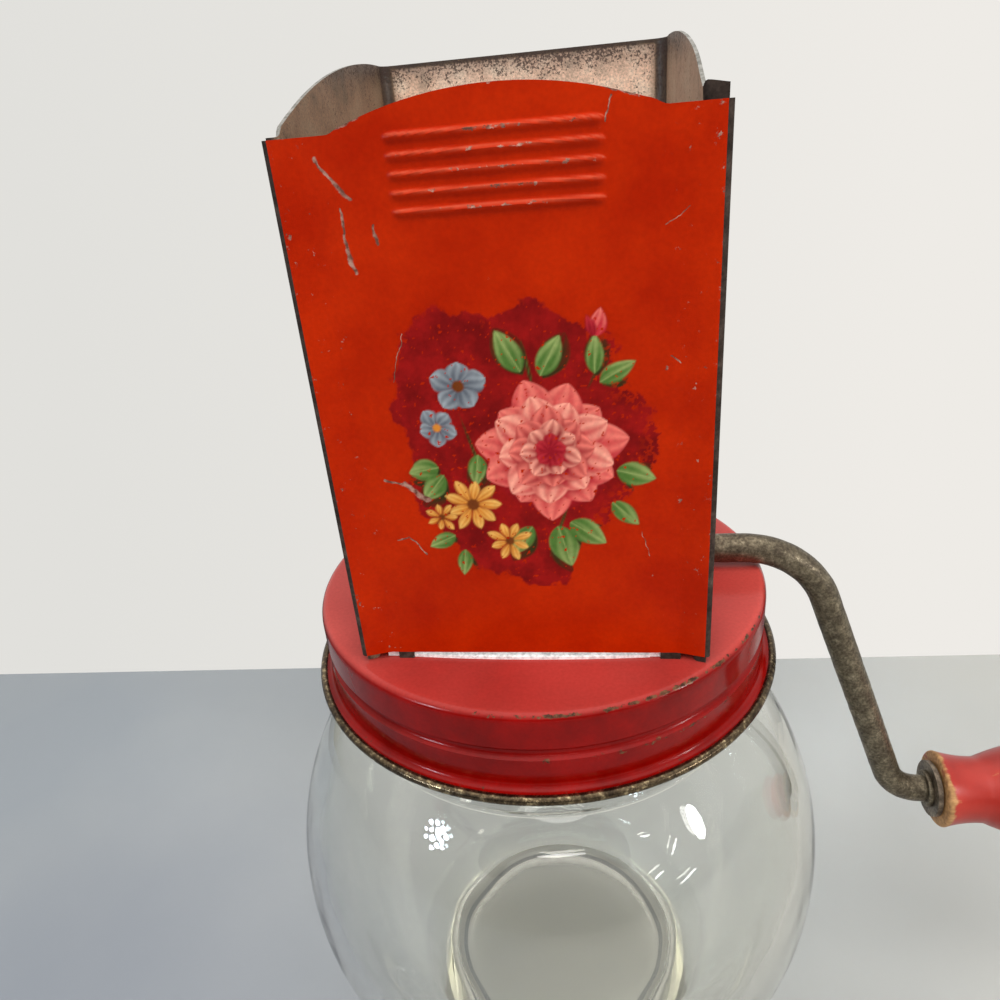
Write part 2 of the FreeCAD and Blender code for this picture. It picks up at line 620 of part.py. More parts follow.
def make_screw_lid():
    body = new_body("screw_lid")
    profile = new_sketch(body, "XZ_Plane", "LidProfile")
    outline(profile, [
        (0, "lid_top"),
        (0, "liner_top"),
        ("inner_disc_edge", "liner_top"),
        ("lid_bore", "inner_skirt_top", "inner_round", "right"),
        ("lid_bore", "inner_step_top"),
        ("lid_bore", "inner_step_foot", "inner_step_arc", "left"),
        ("lid_bore", "curl_inner_top"),
        ("curl_radius", "curl_foot", "curl_turn_in", "left"),
        ("curl_outer", "curl_height", "curl_tube", "left"),
        ("curl_join_x", "curl_join_z", "curl_tube", "left"),
        ("lid_radius", "flare_top", "flare_arc", "right"),
        ("lid_radius", "step_foot"),
        ("lid_radius", "step_top", "step_arc", "right"),
        ("lid_radius", "skirt_top"),
        ("disc_edge", "lid_top", "lid_round", "left"),
    ])
    revolve(body, profile, "LidShell")
    thread = new_sketch(body, "XZ_Plane", "LidThreadProfile")
    outline(thread, [
        ("lid_thread_inside", "lid_root_low"),
        ("lid_thread_inside", "lid_root_high"),
        ("lid_thread_radius", "lid_crest_high"),
        ("lid_thread_radius", "lid_crest_low"),
    ])
    helix(body, "AdditiveHelix", thread, "LidThread", "lid_thread_rise")
    groove = new_sketch(body, "XZ_Plane", "LidGrooveProfile")
    outline(groove, [
        ("groove_mouth", "lid_root_low"),
        ("groove_mouth", "lid_root_high"),
        ("groove_floor", "lid_crest_high"),
        ("groove_floor", "lid_crest_low"),
    ])
    helix(body, "SubtractiveHelix", groove, "LidRolledGroove", "lid_thread_rise")
    mouth = new_sketch(body, "XY_Plane", "LidMouth")
    box_outline(mouth, "-mouth_half_x", "-mouth_half_y", "mouth_half_x", "mouth_half_y")
    for low, high in (("-slot_right", "-slot_left"), ("slot_left", "slot_right")):
        box_outline(mouth, low, "-slot_front", high, "-slot_front_in")
        box_outline(mouth, low, "slot_back_in", high, "slot_back")
    for low, high in (("-slot_high", "-slot_low"), ("slot_low", "slot_high")):
        box_outline(mouth, "-slot_side", low, "-slot_side_in", high)
        box_outline(mouth, "slot_side_in", low, "slot_side", high)
    cut_through(body, mouth, "LidOpenings")
    return body


# ---------------------------------------------------------------- hopper
def make_hopper_front():
    """Front panel: half of it is lofted from foot to top, then mirrored."""
    body = new_body("hopper_front")
    foot = new_sketch(body, "XY_Plane", "PanelFoot", lift="panel_foot")
    outline(foot, [
        (0, "-panel_face"),
        ("crease_half", "-panel_face"),
        ("panel_half", "-foot_edge_face"),
        ("panel_half", "-foot_edge_back"),
        ("hem_end", "-foot_hem_back"),
        ("hem_end", "-foot_hem_front"),
        ("web_inner", "-foot_web_back"),
        ("web_inner", "-foot_web_front"),
        ("crease_half", "-panel_inner"),
        (0, "-panel_inner"),
    ])
    top = new_sketch(body, "XY_Plane", "PanelTop", lift="wrap_top")
    outline(top, [
        (0, "-panel_face"),
        ("crease_half", "-panel_face"),
        ("panel_half", "-panel_face"),
        ("panel_half", "-hem_back"),
        ("hem_end", "-hem_back"),
        ("hem_end", "-hem_front"),
        ("web_inner", "-hem_front"),
        ("web_inner", "-panel_inner"),
        ("crease_half", "-panel_inner"),
        (0, "-panel_inner"),
    ])
    sheet_half = loft(body, "PanelSheet", foot, top)
    tab = new_sketch(body, "YZ_Plane", "PanelTab", lift="tab_x")
    outline(tab, [
        ("-panel_face", "tab_start"),
        ("-panel_face", "tab_low"),
        ("-front_tab_fold", "tab_low"),
        ("-front_tab_fold", "tab_under"),
        ("-panel_inner", "tab_under"),
        ("-panel_inner", "tab_start"),
    ])
    tab_pad = pad(body, tab, "PanelTabPad", "tab_half", both_sides=True)
    mirror(body, [sheet_half, tab_pad], "YZ_Plane", "PanelMirror")
    crest = new_sketch(body, "XZ_Plane", "PanelOutline")
    outline(crest, [
        ("-cut_reach", "shoulder_top"),
        ("-shoulder_end", "shoulder_top"),
        ("-arch_half", "arch_end_top", "arch_hollow_arc", "left"),
        ("arch_half", "arch_end_top", "arch_arc", "right"),
        ("shoulder_end", "shoulder_top", "arch_hollow_arc", "left"),
        ("cut_reach", "shoulder_top"),
        ("cut_reach", "cut_top"),
        ("-cut_reach", "cut_top"),
    ])
    cut_through(body, crest, "PanelArch")
    add_ribs(body)
    return body


def add_ribs(body):
    """A row of embossed ribs under the arch, hollow behind."""
    rib = new_sketch(body, "XZ_Plane", "RibOutline", lift="panel_face", shift="rib_top")
    rounded_bar(rib, "rib_straight", "rib_width")
    raised = pad(body, rib, "Rib", "rib_stand")
    bind(raised, "TaperAngle", "-rib_taper_degrees")
    hollow = new_sketch(body, "XZ_Plane", "RibHollow", lift="panel_inner", shift="rib_top")
    rounded_bar(hollow, "rib_straight", "rib_hollow")
    pressed = feature(body, "Pocket", "RibPress", hollow)
    bind(pressed, "Length", "rib_stand")
    pressed.Reversed = True
    row = body.newObject("PartDesign::LinearPattern", "RibRow")
    row.Originals = [raised, pressed]
    row.Direction = (rib, ["V_Axis"])
    row.Reversed = True
    bind(row, "Length", "rib_span")
    bind(row, "Occurrences", "rib_count")
    body.Tip = row


def rounded_bar(sketch, straight, width):
    """A bar with half-round ends: two straight sides and two arcs about the end centres."""
    reach = size(straight)
    half = size(width)
    corners = ((-reach, -half), (reach, -half), (reach, half), (-reach, half))
    points = [FreeCAD.Vector(x, y, 0) for x, y in corners]
    tip = FreeCAD.Vector(reach + half, 0, 0)
    low = sketch.addGeometry(Part.LineSegment(points[0], points[1]), False)
    right = sketch.addGeometry(Part.Arc(points[1], tip, points[2]), False)
    high = sketch.addGeometry(Part.LineSegment(points[2], points[3]), False)
    left = sketch.addGeometry(Part.Arc(points[3], tip * -1, points[0]), False)
    for edge, follower in ((low, right), (right, high), (high, left), (left, low)):
        sketch.addConstraint(Sketcher.Constraint("Coincident", edge, 2, follower, 1))
    pin_point(sketch, low, 1, "-" + straight, "-" + width)
    pin_point(sketch, right, 1, straight, "-" + width)
    pin_point(sketch, high, 1, straight, width)
    pin_point(sketch, left, 1, "-" + straight, width)
    for points_pair, expression in (((-1, 1, right, 3), formula(straight)),
                                    ((left, 3, -1, 1), formula(straight))):
        index = sketch.addConstraint(Sketcher.Constraint("DistanceX", *points_pair, reach))
        sketch.setExpression("Constraints[%d]" % index, expression)


def make_hopper_wrap():
    """Sides and back in one bent sheet, with seam flanges held in the front panel's hems."""
    body = new_body("hopper_wrap")
    foot = new_sketch(body, "XY_Plane", "WrapFoot", lift="lid_top")
    top = new_sketch(body, "XY_Plane", "WrapTop", lift="wrap_top")
    for sketch, root_front, flange_front, flange_back, root_back in (
            (foot, "-foot_root_front", "-foot_flange_front",
             "-foot_flange_back", "-foot_root_back"),
            (top, "-flange_front", "-flange_front", "-flange_back", "-flange_back")):
        outline(sketch, [
            (0, "back_inner"),
            ("corner_x_start", "back_inner"),
            ("wall_inner", "corner_y_start", "corner_inner_arc", "right"),
            ("wall_inner", root_front),
            ("flange_tip", flange_front),
            ("flange_tip", flange_back),
            ("wall_half", root_back),
            ("wall_half", "corner_y_start"),
            ("corner_x_start", "back_face", "corner_arc", "left"),
            (0, "back_face"),
        ])
    sheet_half = loft(body, "WrapSheet", foot, top)
    back_tab = new_sketch(body, "YZ_Plane", "BackTab", lift="tab_x")
    outline(back_tab, [
        ("back_face", "panel_foot"),
        ("back_inner", "panel_foot"),
        ("back_inner", "tab_under"),
        ("back_tab_fold", "tab_under"),
        ("back_tab_fold", "tab_low"),
        ("back_face", "tab_low"),
    ])
    tabs = [pad(body, back_tab, "BackTabPad", "tab_half", both_sides=True)]
    for name, place in (("FrontSideTab", "tab_y"), ("RearSideTab", "-tab_y")):
        side_tab = new_sketch(body, "XZ_Plane", name, lift=place)
        outline(side_tab, [
            ("wall_half", "panel_foot"),
            ("wall_inner", "panel_foot"),
            ("wall_inner", "tab_under"),
            ("side_tab_fold", "tab_under"),
            ("side_tab_fold", "tab_low"),
            ("wall_half", "tab_low"),
        ])
        tabs.append(pad(body, side_tab, name + "Pad", "tab_half", both_sides=True))
    mirror(body, [sheet_half] + tabs, "YZ_Plane", "WrapMirror")
    crest = new_sketch(body, "YZ_Plane", "WrapOutline")
    outline(crest, [
        ("-cut_reach", "side_front_top"),
        ("-flange_back", "side_front_top"),
        ("corner_y_start", "wrap_top", "side_arc", "right"),
        ("cut_reach", "wrap_top"),
        ("cut_reach", "cut_top"),
        ("-cut_reach", "cut_top"),
    ])
    cut_through(body, crest, "WrapTopCurve")
    holes = new_sketch(body, "YZ_Plane", "ShaftHoles")
    circle_outline(holes, 0, "shaft_height", "bearing_bore")
    cut_through(body, holes, "WrapShaftHoles")
    return body


# ---------------------------------------------------------------- combs
def make_comb(label, turned):
    """Fixed comb: an upright on the lid and a sloping sheet that ends in fingers.

    The front one also has a foot plate, whose edge shows under the front panel.
    """
    body = new_body(label)
    if turned:
        body.Placement = FreeCAD.Placement(FreeCAD.Vector(0, 0, 0),
                                           FreeCAD.Rotation(FreeCAD.Vector(0, 0, 1), 180))
    section = new_sketch(body, "YZ_Plane", label + "Section")
    outline(section, [
        ("-comb_face", "lid_top"),
        ("-comb_inner", "lid_top"),
        ("-comb_inner", "comb_bend"),
        ("-comb_tip", "comb_tip_low"),
        ("-comb_tip", "comb_tip_top"),
        ("-comb_inner", "comb_top"),
        ("-comb_face", "comb_top"),
    ])
    pad(body, section, label + "Strip", "comb_half", both_sides=True)
    if not turned:
        foot = new_sketch(body, "XY_Plane", label + "Foot", lift="lid_top")
        outline(foot, [
            ("-comb_foot_half", "-comb_inner"),
            ("-comb_foot_half", "-comb_foot_end"),
            ("comb_foot_half", "-comb_foot_end", "comb_foot_arc", "left"),
            ("comb_foot_half", "-comb_inner"),
        ])
        pad(body, foot, label + "FootPlate", "comb_foot_sheet")
    ends = new_sketch(body, "XY_Plane", label + "Ends")
    box_outline(ends, "comb_end_cut", "-finger_start", "comb_end_over", "-comb_notch_end")
    box_outline(ends, "-comb_end_over", "-finger_start", "-comb_end_cut", "-comb_notch_end")
    cut_through(body, ends, label + "EndCut")
    notch = new_sketch(body, "XY_Plane", label + "Notch")
    box_outline(notch, "-notch_outer", "-finger_start", "-notch_inner", "-comb_notch_end")
    cut = cut_through(body, notch, label + "Gap")
    row = body.newObject("PartDesign::LinearPattern", label + "Gaps")
    row.Originals = [cut]
    row.Direction = (notch, ["H_Axis"])
    bind(row, "Length", "notch_span")
    bind(row, "Occurrences", "cutter_count")
    body.Tip = row
    return body


# ---------------------------------------------------------------- crank and rotor
def make_crank_rod():
    """One bent rod: shaft, arm and knob pin, with a driving flat, a collar and a head."""
    body = new_body("crank_rod", z="shaft_height")
    spine = new_sketch(body, "XZ_Plane", "RodLine")
    outline(spine, [
        ("-shaft_end", 0),
        ("bend_start", 0),
        ("bend_end_x", "-bend_end_drop", "shaft_bend", "right"),
        ("pin_bend_x", "-pin_bend_drop"),
        ("pin_start", "-pin_drop", "pin_bend", "left"),
        ("head_x", "-pin_drop"),
    ], closed=False)
    section = new_sketch(body, "YZ_Plane", "RodSection", lift="-shaft_end")
    circle_outline(section, 0, 0, "rod_radius")
    rod = feature(body, "AdditivePipe", "Rod", section)
    rod.Spine = spine
    spine.Visibility = False
    flat = new_sketch(body, "XZ_Plane", "DriveFlat")
    box_outline(flat, "-flat_left", "flat_place", "flat_end", "flat_top")
    cut_through(body, flat, "RodFlat")
    collar = new_sketch(body, "XZ_Plane", "CollarSection", shift="-pin_drop")
    box_outline(collar, "collar_x", 0, "collar_end", "collar_radius")
    revolve(body, collar, "Collar", "H_Axis")
    head = new_sketch(body, "XZ_Plane", "HeadSection", shift="-pin_drop")
    outline(head, [
        ("head_x", 0),
        ("pin_finish", 0),
        ("pin_finish", "head_crown"),
        ("head_rim", "head_radius"),
        ("head_x", "head_radius"),
    ])
    revolve(body, head, "Head", "H_Axis")
    return body


def make_cutter(number):
    """Star cutter: a keyed hub with pointed arms, each star turned from the last."""
    label = "cutter_%d" % number
    body = new_body(label, z="shaft_height")
    steps = "%s + %d * %s" % (formula("first_cutter"), number - 1, formula("cutter_pitch"))
    body.setExpression("Placement.Base.x", steps)
    hub = new_sketch(body, "YZ_Plane", label + "_hub")
    circle_outline(hub, 0, 0, "hub_radius")
    keyed_hole(hub)
    pad(body, hub, label + "_disc", "cutter_thickness")
    turn = (number - 1) * size("cutter_twist_degrees")
    arm = new_sketch(body, "YZ_Plane", label + "_arm", turn=turn)
    outline(arm, [
        ("-finger_root", "arm_start"),
        ("finger_root", "arm_start"),
        ("finger_tip", "cutter_radius"),
        ("-finger_tip", "cutter_radius"),
    ])
    blade = pad(body, arm, label + "_blade", "cutter_thickness")
    star = body.newObject("PartDesign::PolarPattern", label + "_star")
    star.Originals = [blade]
    star.Axis = (hub, ["N_Axis"])
    star.Angle = 360.0
    bind(star, "Occurrences", "cutter_arms")
    body.Tip = star
    return body


def keyed_hole(sketch):
    """The hole of a piece that the rod drives: one long arc, closed by a flat at the top."""
    radius = size("fit_bore")
    half = size("fit_flat_half")
    height = size("fit_flat")
    start = FreeCAD.Vector(-half, height, 0)
    finish = FreeCAD.Vector(half, height, 0)
    arc = sketch.addGeometry(Part.Arc(start, FreeCAD.Vector(0, -radius, 0), finish), False)
    flat = sketch.addGeometry(Part.LineSegment(finish, start), False)
    sketch.addConstraint(Sketcher.Constraint("Coincident", arc, 2, flat, 1))
    sketch.addConstraint(Sketcher.Constraint("Coincident", flat, 2, arc, 1))
    pin_point(sketch, arc, 1, "-fit_flat_half", "fit_flat")
    pin_point(sketch, arc, 2, "fit_flat_half", "fit_flat")
    index = sketch.addConstraint(Sketcher.Constraint("Radius", arc, radius))
    sketch.setExpression("Constraints[%d]" % index, formula("fit_bore"))


def make_ring(label, x, z, outer, inner, length):
    """A plain ring about the shaft or the knob pin."""
    body = new_body(label, x=x, z=z)
    ring = new_sketch(body, "YZ_Plane", label + "Ring")
    circle_outline(ring, 0, 0, outer)
    circle_outline(ring, 0, 0, inner)
    pad(body, ring, label + "Pad", length)
    return body


def make_knob():
    body = new_body("crank_knob", x="knob_start", z="pin_height")
    profile = new_sketch(body, "XZ_Plane", "KnobProfile")
    outline(profile, [
        (0, "knob_bore"),
        (0, "knob_end"),
        ("knob_waist", "knob_neck", "knob_waist_arc", "left"),
        ("knob_swell", "knob_radius", "knob_flank_arc", "right"),
        ("knob_edge", "knob_edge_radius", "knob_crown_arc", "right"),
        ("knob_length", "knob_face", "knob_edge_arc", "right"),
        ("knob_length", "knob_bore"),
    ])
    revolve(body, profile, "KnobTurning", "H_Axis")
    return body


# ---------------------------------------------------------------- assembly
def make_spacers():
    """Spacer tubes between the cutters, and a longer one at each end of the row."""
    spacers = []
    for number in range(1, int(size("cutter_count"))):
        label = "spacer_%d" % number
        body = make_ring(label, 0, "shaft_height", "spacer_radius", "fit_bore", "spacer_length")
        steps = "%s + %d * %s + %s" % (formula("first_cutter"), number - 1,
                                       formula("cutter_pitch"), formula("cutter_thickness"))
        body.setExpression("Placement.Base.x", steps)
        spacers.append(body)
    for label, start in (("end_spacer_left", "-end_spacer_finish"),
                         ("end_spacer_right", "end_spacer_start")):
        spacers.append(make_ring(label, start, "shaft_height", "spacer_radius", "fit_bore",
                                 "end_spacer_length"))
    return spacers


def check(bodies):
    """Stop if any feature failed or any piece isn't one valid solid."""
    for item in document.Objects:
        if "Invalid" in item.State or "Error" in item.State:
            raise RuntimeError("%s failed to build" % item.Label)
    for body in bodies:
        shape = body.Shape
        if shape.isNull() or not shape.isValid():
            raise RuntimeError("%s has no valid shape" % body.Label)
        if len(shape.Solids) != 1:
            raise RuntimeError("%s is %d solids" % (body.Label, len(shape.Solids)))


def main():
    fill_sheet()
    bodies = [make_glass_jar(), make_liner_ring(), make_screw_lid(),
              make_hopper_front(), make_hopper_wrap(),
              make_comb("comb_front", False), make_comb("comb_rear", True),
              make_crank_rod()]
    bodies += [make_cutter(number) for number in range(1, int(size("cutter_count")) + 1)]
    bodies += make_spacers()
    bodies.append(make_ring("knob_washer_inner", "collar_end", "pin_height",
                            "washer_radius", "washer_bore", "washer_thickness"))
    bodies.append(make_ring("knob_washer_outer", "outer_washer_x", "pin_height",
                            "washer_radius", "washer_bore", "washer_thickness"))
    bodies.append(make_knob())
    document.recompute()
    check(bodies)
    os.makedirs("parts", exist_ok=True)
    for body in bodies:
        body.Shape.exportStep("parts/%s.step" % body.Label)
        print("%-18s volume %9.2f cubic mm" % (body.Label, body.Shape.Volume))


main()
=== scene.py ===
"""Looks of a hand-crank nut chopper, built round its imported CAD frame.

The classes hold their sizes in millimetres and draw in millimetres; every finished mesh is in
metres, in the frame's axes: +Z up, +X towards the crank, the front panel facing -Y.
"""

from __future__ import annotations

import logging
import math
from dataclasses import dataclass, field
from enum import Enum
from typing import Callable, Sequence

import bmesh
import bpy
import numpy as np
from mathutils import Matrix, Vector, noise


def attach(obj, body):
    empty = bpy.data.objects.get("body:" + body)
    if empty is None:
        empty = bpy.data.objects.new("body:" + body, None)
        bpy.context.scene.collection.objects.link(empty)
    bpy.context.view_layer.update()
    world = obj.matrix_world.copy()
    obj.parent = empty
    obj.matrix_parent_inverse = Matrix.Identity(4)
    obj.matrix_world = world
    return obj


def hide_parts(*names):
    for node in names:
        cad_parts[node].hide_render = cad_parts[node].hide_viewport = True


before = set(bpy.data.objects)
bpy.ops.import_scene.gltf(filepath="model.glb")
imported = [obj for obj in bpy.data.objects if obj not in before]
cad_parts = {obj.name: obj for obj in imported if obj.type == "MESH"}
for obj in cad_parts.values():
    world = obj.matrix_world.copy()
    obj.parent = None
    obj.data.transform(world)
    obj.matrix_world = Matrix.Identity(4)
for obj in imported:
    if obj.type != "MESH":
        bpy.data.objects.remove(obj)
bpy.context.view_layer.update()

LOG = logging.getLogger("nut_chopper")
MM = 0.001
FULL_TURN = 2.0 * math.pi
ORIGIN = (0.0, 0.0, 0.0)
UPWARD = (0.0, 0.0, 1.0)
RIGHTWARD = (1.0, 0.0, 0.0)
FORWARD = Vector((0.0, -1.0, 0.0))
WHITE = "FFFFFF"

Place = tuple[float, float, float]
Colour = tuple[float, float, float, float]
Stroke = tuple[float, float, float, float, float]
Node = bpy.types.Node
NodeTree = bpy.types.NodeTree
NodeSocket = bpy.types.NodeSocket
BMesh = bmesh.types.BMesh
BMVert = bmesh.types.BMVert
BMEdge = bmesh.types.BMEdge
BMFace = bmesh.types.BMFace


class Body(Enum):
    """The frame's bodies that a new piece can move with."""

    JAR = "jar"
    LID = "lid"
    CRANK = "crank"
    KNOB = "knob"


class Side(Enum):
    """Which way an arc bends as it is drawn, seen with x to the right and z up."""

    LEFT = 1.0
    RIGHT = -1.0


# ------ small tools


def linear(colour: str) -> Colour:
    """Turn an sRGB hex colour to linear.

    Args:
        colour: six hex digits, without a leading sign.

    Returns:
        Linear red, green, blue and an alpha of 1.
    """
    channels = [int(colour[place:place + 2], 16) / 255 for place in (0, 2, 4)]
    red, green, blue = (
        value / 12.92 if value <= 0.04045 else ((value + 0.055) / 1.055) ** 2.4
        for value in channels
    )
    return (red, green, blue, 1.0)


def step(low: float, high: float, value: float) -> float:
    """Smooth step from 0 at low to 1 at high."""
    share = min(max((value - low) / (high - low), 0.0), 1.0)
    return share * share * (3.0 - 2.0 * share)


def add(tree: NodeTree, kind: str, inputs: dict[str | int, object] | None = None,
        **settings: object) -> Node:
    """Add a node with its settings and links.

    Args:
        tree: the node tree that gets the node.
        kind: the node's type without its ShaderNode prefix.
        inputs: for each input a node or socket to link from, or a plain value.
        settings: properties of the node; stops gives a colour ramp its (place, hex) pairs.

    Returns:
        The new node.
    """
    node = tree.nodes.new("ShaderNode" + kind)
    stops = settings.pop("stops", None)
    for name, value in settings.items():
        setattr(node, name, value)
    if stops:
        elements = node.color_ramp.elements
        while len(elements) < len(stops):
            elements.new(0.5)
        for element, (place, colour) in zip(elements, stops):
            element.position = place
            element.color = linear(colour)
    for key, value in (inputs or {}).items():
        if isinstance(value, Node):
            tree.links.new(value.outputs[0], node.inputs[key])
        elif isinstance(value, NodeSocket):
            tree.links.new(value, node.inputs[key])
        else:
            node.inputs[key].default_value = value
    return node


def millimetres(tree: NodeTree) -> Node:
    """Object coordinates in millimetres, so that a scale is one over a real size."""
    place = add(tree, "TexCoord")
    return add(tree, "VectorMath", {0: place.outputs["Object"], "Scale": 1.0 / MM},
               operation="SCALE")


def stroke_mask(tree: NodeTree, place: Node, strokes: Sequence[Stroke]) -> Node:
    """Mask of thin scratches on the front panel.

    Args:
        tree: the material's tree.
        place: coordinates in millimetres, already made a little wavy.
        strokes: start x and z, end x and z, and half width of each scratch.

    Returns:
        A node whose first output is 1 on the scratches.
    """
    flat = add(tree, "VectorMath", {0: place, 1: (1.0, 0.0, 1.0)}, operation="MULTIPLY")
    whole: Node | None = None
    for x0, z0, x1, z1, half in strokes:
        run = Vector((x1 - x0, 0.0, z1 - z0))
        away = add(tree, "VectorMath", {0: flat, 1: (x0, 0.0, z0)}, operation="SUBTRACT")
        along = add(tree, "VectorMath", {0: away, 1: tuple(run / run.length_squared)},
                    operation="DOT_PRODUCT")
        share = add(tree, "Math", {0: along.outputs["Value"], 1: 1.0}, operation="MULTIPLY",
                    use_clamp=True)
        foot = add(tree, "VectorMath", {0: tuple(run), "Scale": share}, operation="SCALE")
        gap = add(tree, "VectorMath", {0: away, 1: foot}, operation="DISTANCE")
        mark = add(tree, "MapRange", {0: gap.outputs["Value"], 1: half, 2: half * 0.5,
                                      3: 0.0, 4: 1.0})
        whole = mark if whole is None else add(
            tree, "Math", {0: whole, 1: mark}, operation="MAXIMUM")
    return whole


# ------ finishes


@dataclass(frozen=True)
class Finish:
    """A surface finish; its material is made once and then shared."""

    name: str

    def material(self) -> bpy.types.Material:
        """Make the finish's material, or find it again.

        Returns:
            The material, shared by all that has this finish.
        """
        known = bpy.data.materials.get(self.name)
        if known is not None:
            return known
        made = bpy.data.materials.new(self.name)
        made.use_nodes = True
        made.node_tree.nodes.clear()
        surface = self.surface(made.node_tree)
        add(made.node_tree, "OutputMaterial", {"Surface": surface})
        return made

    def surface(self, tree: NodeTree) -> Node:
        """Build the shader in the tree and return its last node."""
        raise NotImplementedError


@dataclass(frozen=True)
class BakedEnamel(Finish):
    """Coloured enamel, roller-coated on tinplate and baked.

    A satin coat with faint orange peel; it darkens in patches, turns chalky where the mesh
    carries a fade attribute, and wears through to brown tin where it carries a wear one. The
    chalky colour is partly real fading and partly painted light: the lid's top is painted
    paler than its sides, and a painted highlight runs along the panel's rib crests.
    """

    colour: str = "B02400"
    deep: str = "9E1A00"
    # pale colour for real fading, also used as painted light: a paler lid top and rib-crest
    # highlights
    chalk_and_highlight: str = "D87052"
    worn: str = "B08474"
    rust: str = "6A4236"
    roughness: float = 0.36
    gloss: float = 0.06
    patch_mm: float = 11.0
    peel_mm: float = 0.7
    speck_mm: float = 0.45
    chip_mm: float = 1.3
    stain_mm: float = 0.8
    sway_mm: float = 1.6
    strokes: tuple[Stroke, ...] = ()
    transfer: bool = False

    def surface(self, tree: NodeTree) -> Node:
        """Enamel mixed with bare, stained tin where it is worn or scratched.

        Args:
            tree: the material's tree.

        Returns:
            The shader.
        """
        place = millimetres(tree)
        patches = add(tree, "TexNoise", {"Vector": place, "Scale": 1.0 / self.patch_mm,
                                         "Detail": 5.0, "Roughness": 0.6})
        colour = self.coat(tree, place, patches)
        bare = self.bare(tree, place)
        stain = add(tree, "TexNoise", {"Vector": place, "Scale": 1.0 / self.stain_mm,
                                       "Detail": 4.0})
        metal = add(tree, "ValToRGB", {0: stain}, stops=[(0.42, self.rust), (0.64, self.worn)])
        base = add(tree, "Mix", {0: bare, 6: colour, 7: metal.outputs[0]}, data_type="RGBA")
        rough = add(tree, "MapRange", {0: patches, 1: 0.3, 2: 0.7, 3: self.roughness - 0.05,
                                       4: self.roughness + 0.08})
        rougher = add(tree, "Math", {0: bare, 1: 0.1, 2: rough}, operation="MULTIPLY_ADD")
        sheen = add(tree, "Math", {0: bare, 1: 0.2}, operation="MULTIPLY")
        peel = add(tree, "TexNoise", {"Vector": place, "Scale": 1.0 / self.peel_mm,
                                      "Detail": 2.0})
        height = add(tree, "Math", {0: bare, 1: -1.2, 2: peel}, operation="MULTIPLY_ADD")
        bump = add(tree, "Bump", {"Height": height, "Strength": 0.25, "Distance": 0.03 * MM})
        return add(tree, "BsdfPrincipled", {
            "Base Color": base.outputs[2], "Metallic": sheen, "Roughness": rougher,
            "Specular IOR Level": self.gloss, "IOR": 1.5, "Normal": bump,
        })

    def coat(self, tree: NodeTree, place: Node, patches: Node) -> NodeSocket:
        """Colour of the whole coat: patches, chalky fading that also carries painted light, fine
        specks and the printed transfer.

        Args:
            tree: the material's tree.
            place: coordinates in millimetres.
            patches: the noise of the darker patches.

        Returns:
            The socket that gives the colour.
        """
        tone = add(tree, "ValToRGB", {0: patches},
                   stops=[(0.35, self.deep), (0.62, self.colour)])
        # painted light with real fading: where the fade attribute is high the coat turns pale,
        # lifting the lid's top and the rib crests
        fade = add(tree, "Attribute", attribute_name="fade")
        tone = add(tree, "Mix", {0: fade.outputs["Fac"], 6: tone, 7: linear(self.chalk_and_highlight)},
                   data_type="RGBA")
        specks = add(tree, "TexNoise", {"Vector": place, "Scale": 1.0 / self.speck_mm,
                                        "Detail": 2.0})
        dust = add(tree, "MapRange", {0: specks, 1: 0.3, 2: 0.7, 3: 0.93, 4: 1.06})
        coat = add(tree, "Mix", {0: 1.0, 6: tone.outputs[2], 7: dust}, data_type="RGBA",
                   blend_type="MULTIPLY")
        if not self.transfer:
            return coat.outputs[2]
        inks = add(tree, "Attribute", attribute_name="transfer")
        printed = add(tree, "Mix", {0: inks.outputs["Alpha"], 6: coat.outputs[2],
                                    7: inks.outputs["Color"]}, data_type="RGBA")
        return printed.outputs[2]

    def bare(self, tree: NodeTree, place: Node) -> Node:
        """Where the coat is gone: chips where the mesh is worn, and scratches.

        Args:
            tree: the material's tree.
            place: coordinates in millimetres.

        Returns:
            A node whose first output is 1 on bare tin.
        """
        wear = add(tree, "Attribute", attribute_name="wear")
        chips = add(tree, "TexNoise", {"Vector": place, "Scale": 1.0 / self.chip_mm,
                                       "Detail": 6.0, "Roughness": 0.72})
        risk = add(tree, "Math", {0: wear.outputs["Fac"], 1: 0.42, 2: chips},
                   operation="MULTIPLY_ADD")
        bare = add(tree, "MapRange", {0: risk, 1: 0.715, 2: 0.755, 3: 0.0, 4: 1.0})
        if not self.strokes:
            return bare
        sway = add(tree, "TexNoise", {"Vector": place, "Scale": 1.0 / self.sway_mm,
                                      "Detail": 3.0})
        shift = add(tree, "VectorMath", {0: sway.outputs["Color"], 1: (0.5, 0.5, 0.5)},
                    operation="SUBTRACT")
        moved = add(tree, "VectorMath", {0: shift, 1: (1.2, 1.2, 1.2), 2: place},
                    operation="MULTIPLY_ADD")
        return add(tree, "Math", {0: bare, 1: stroke_mask(tree, moved, self.strokes)},
                   operation="MAXIMUM")


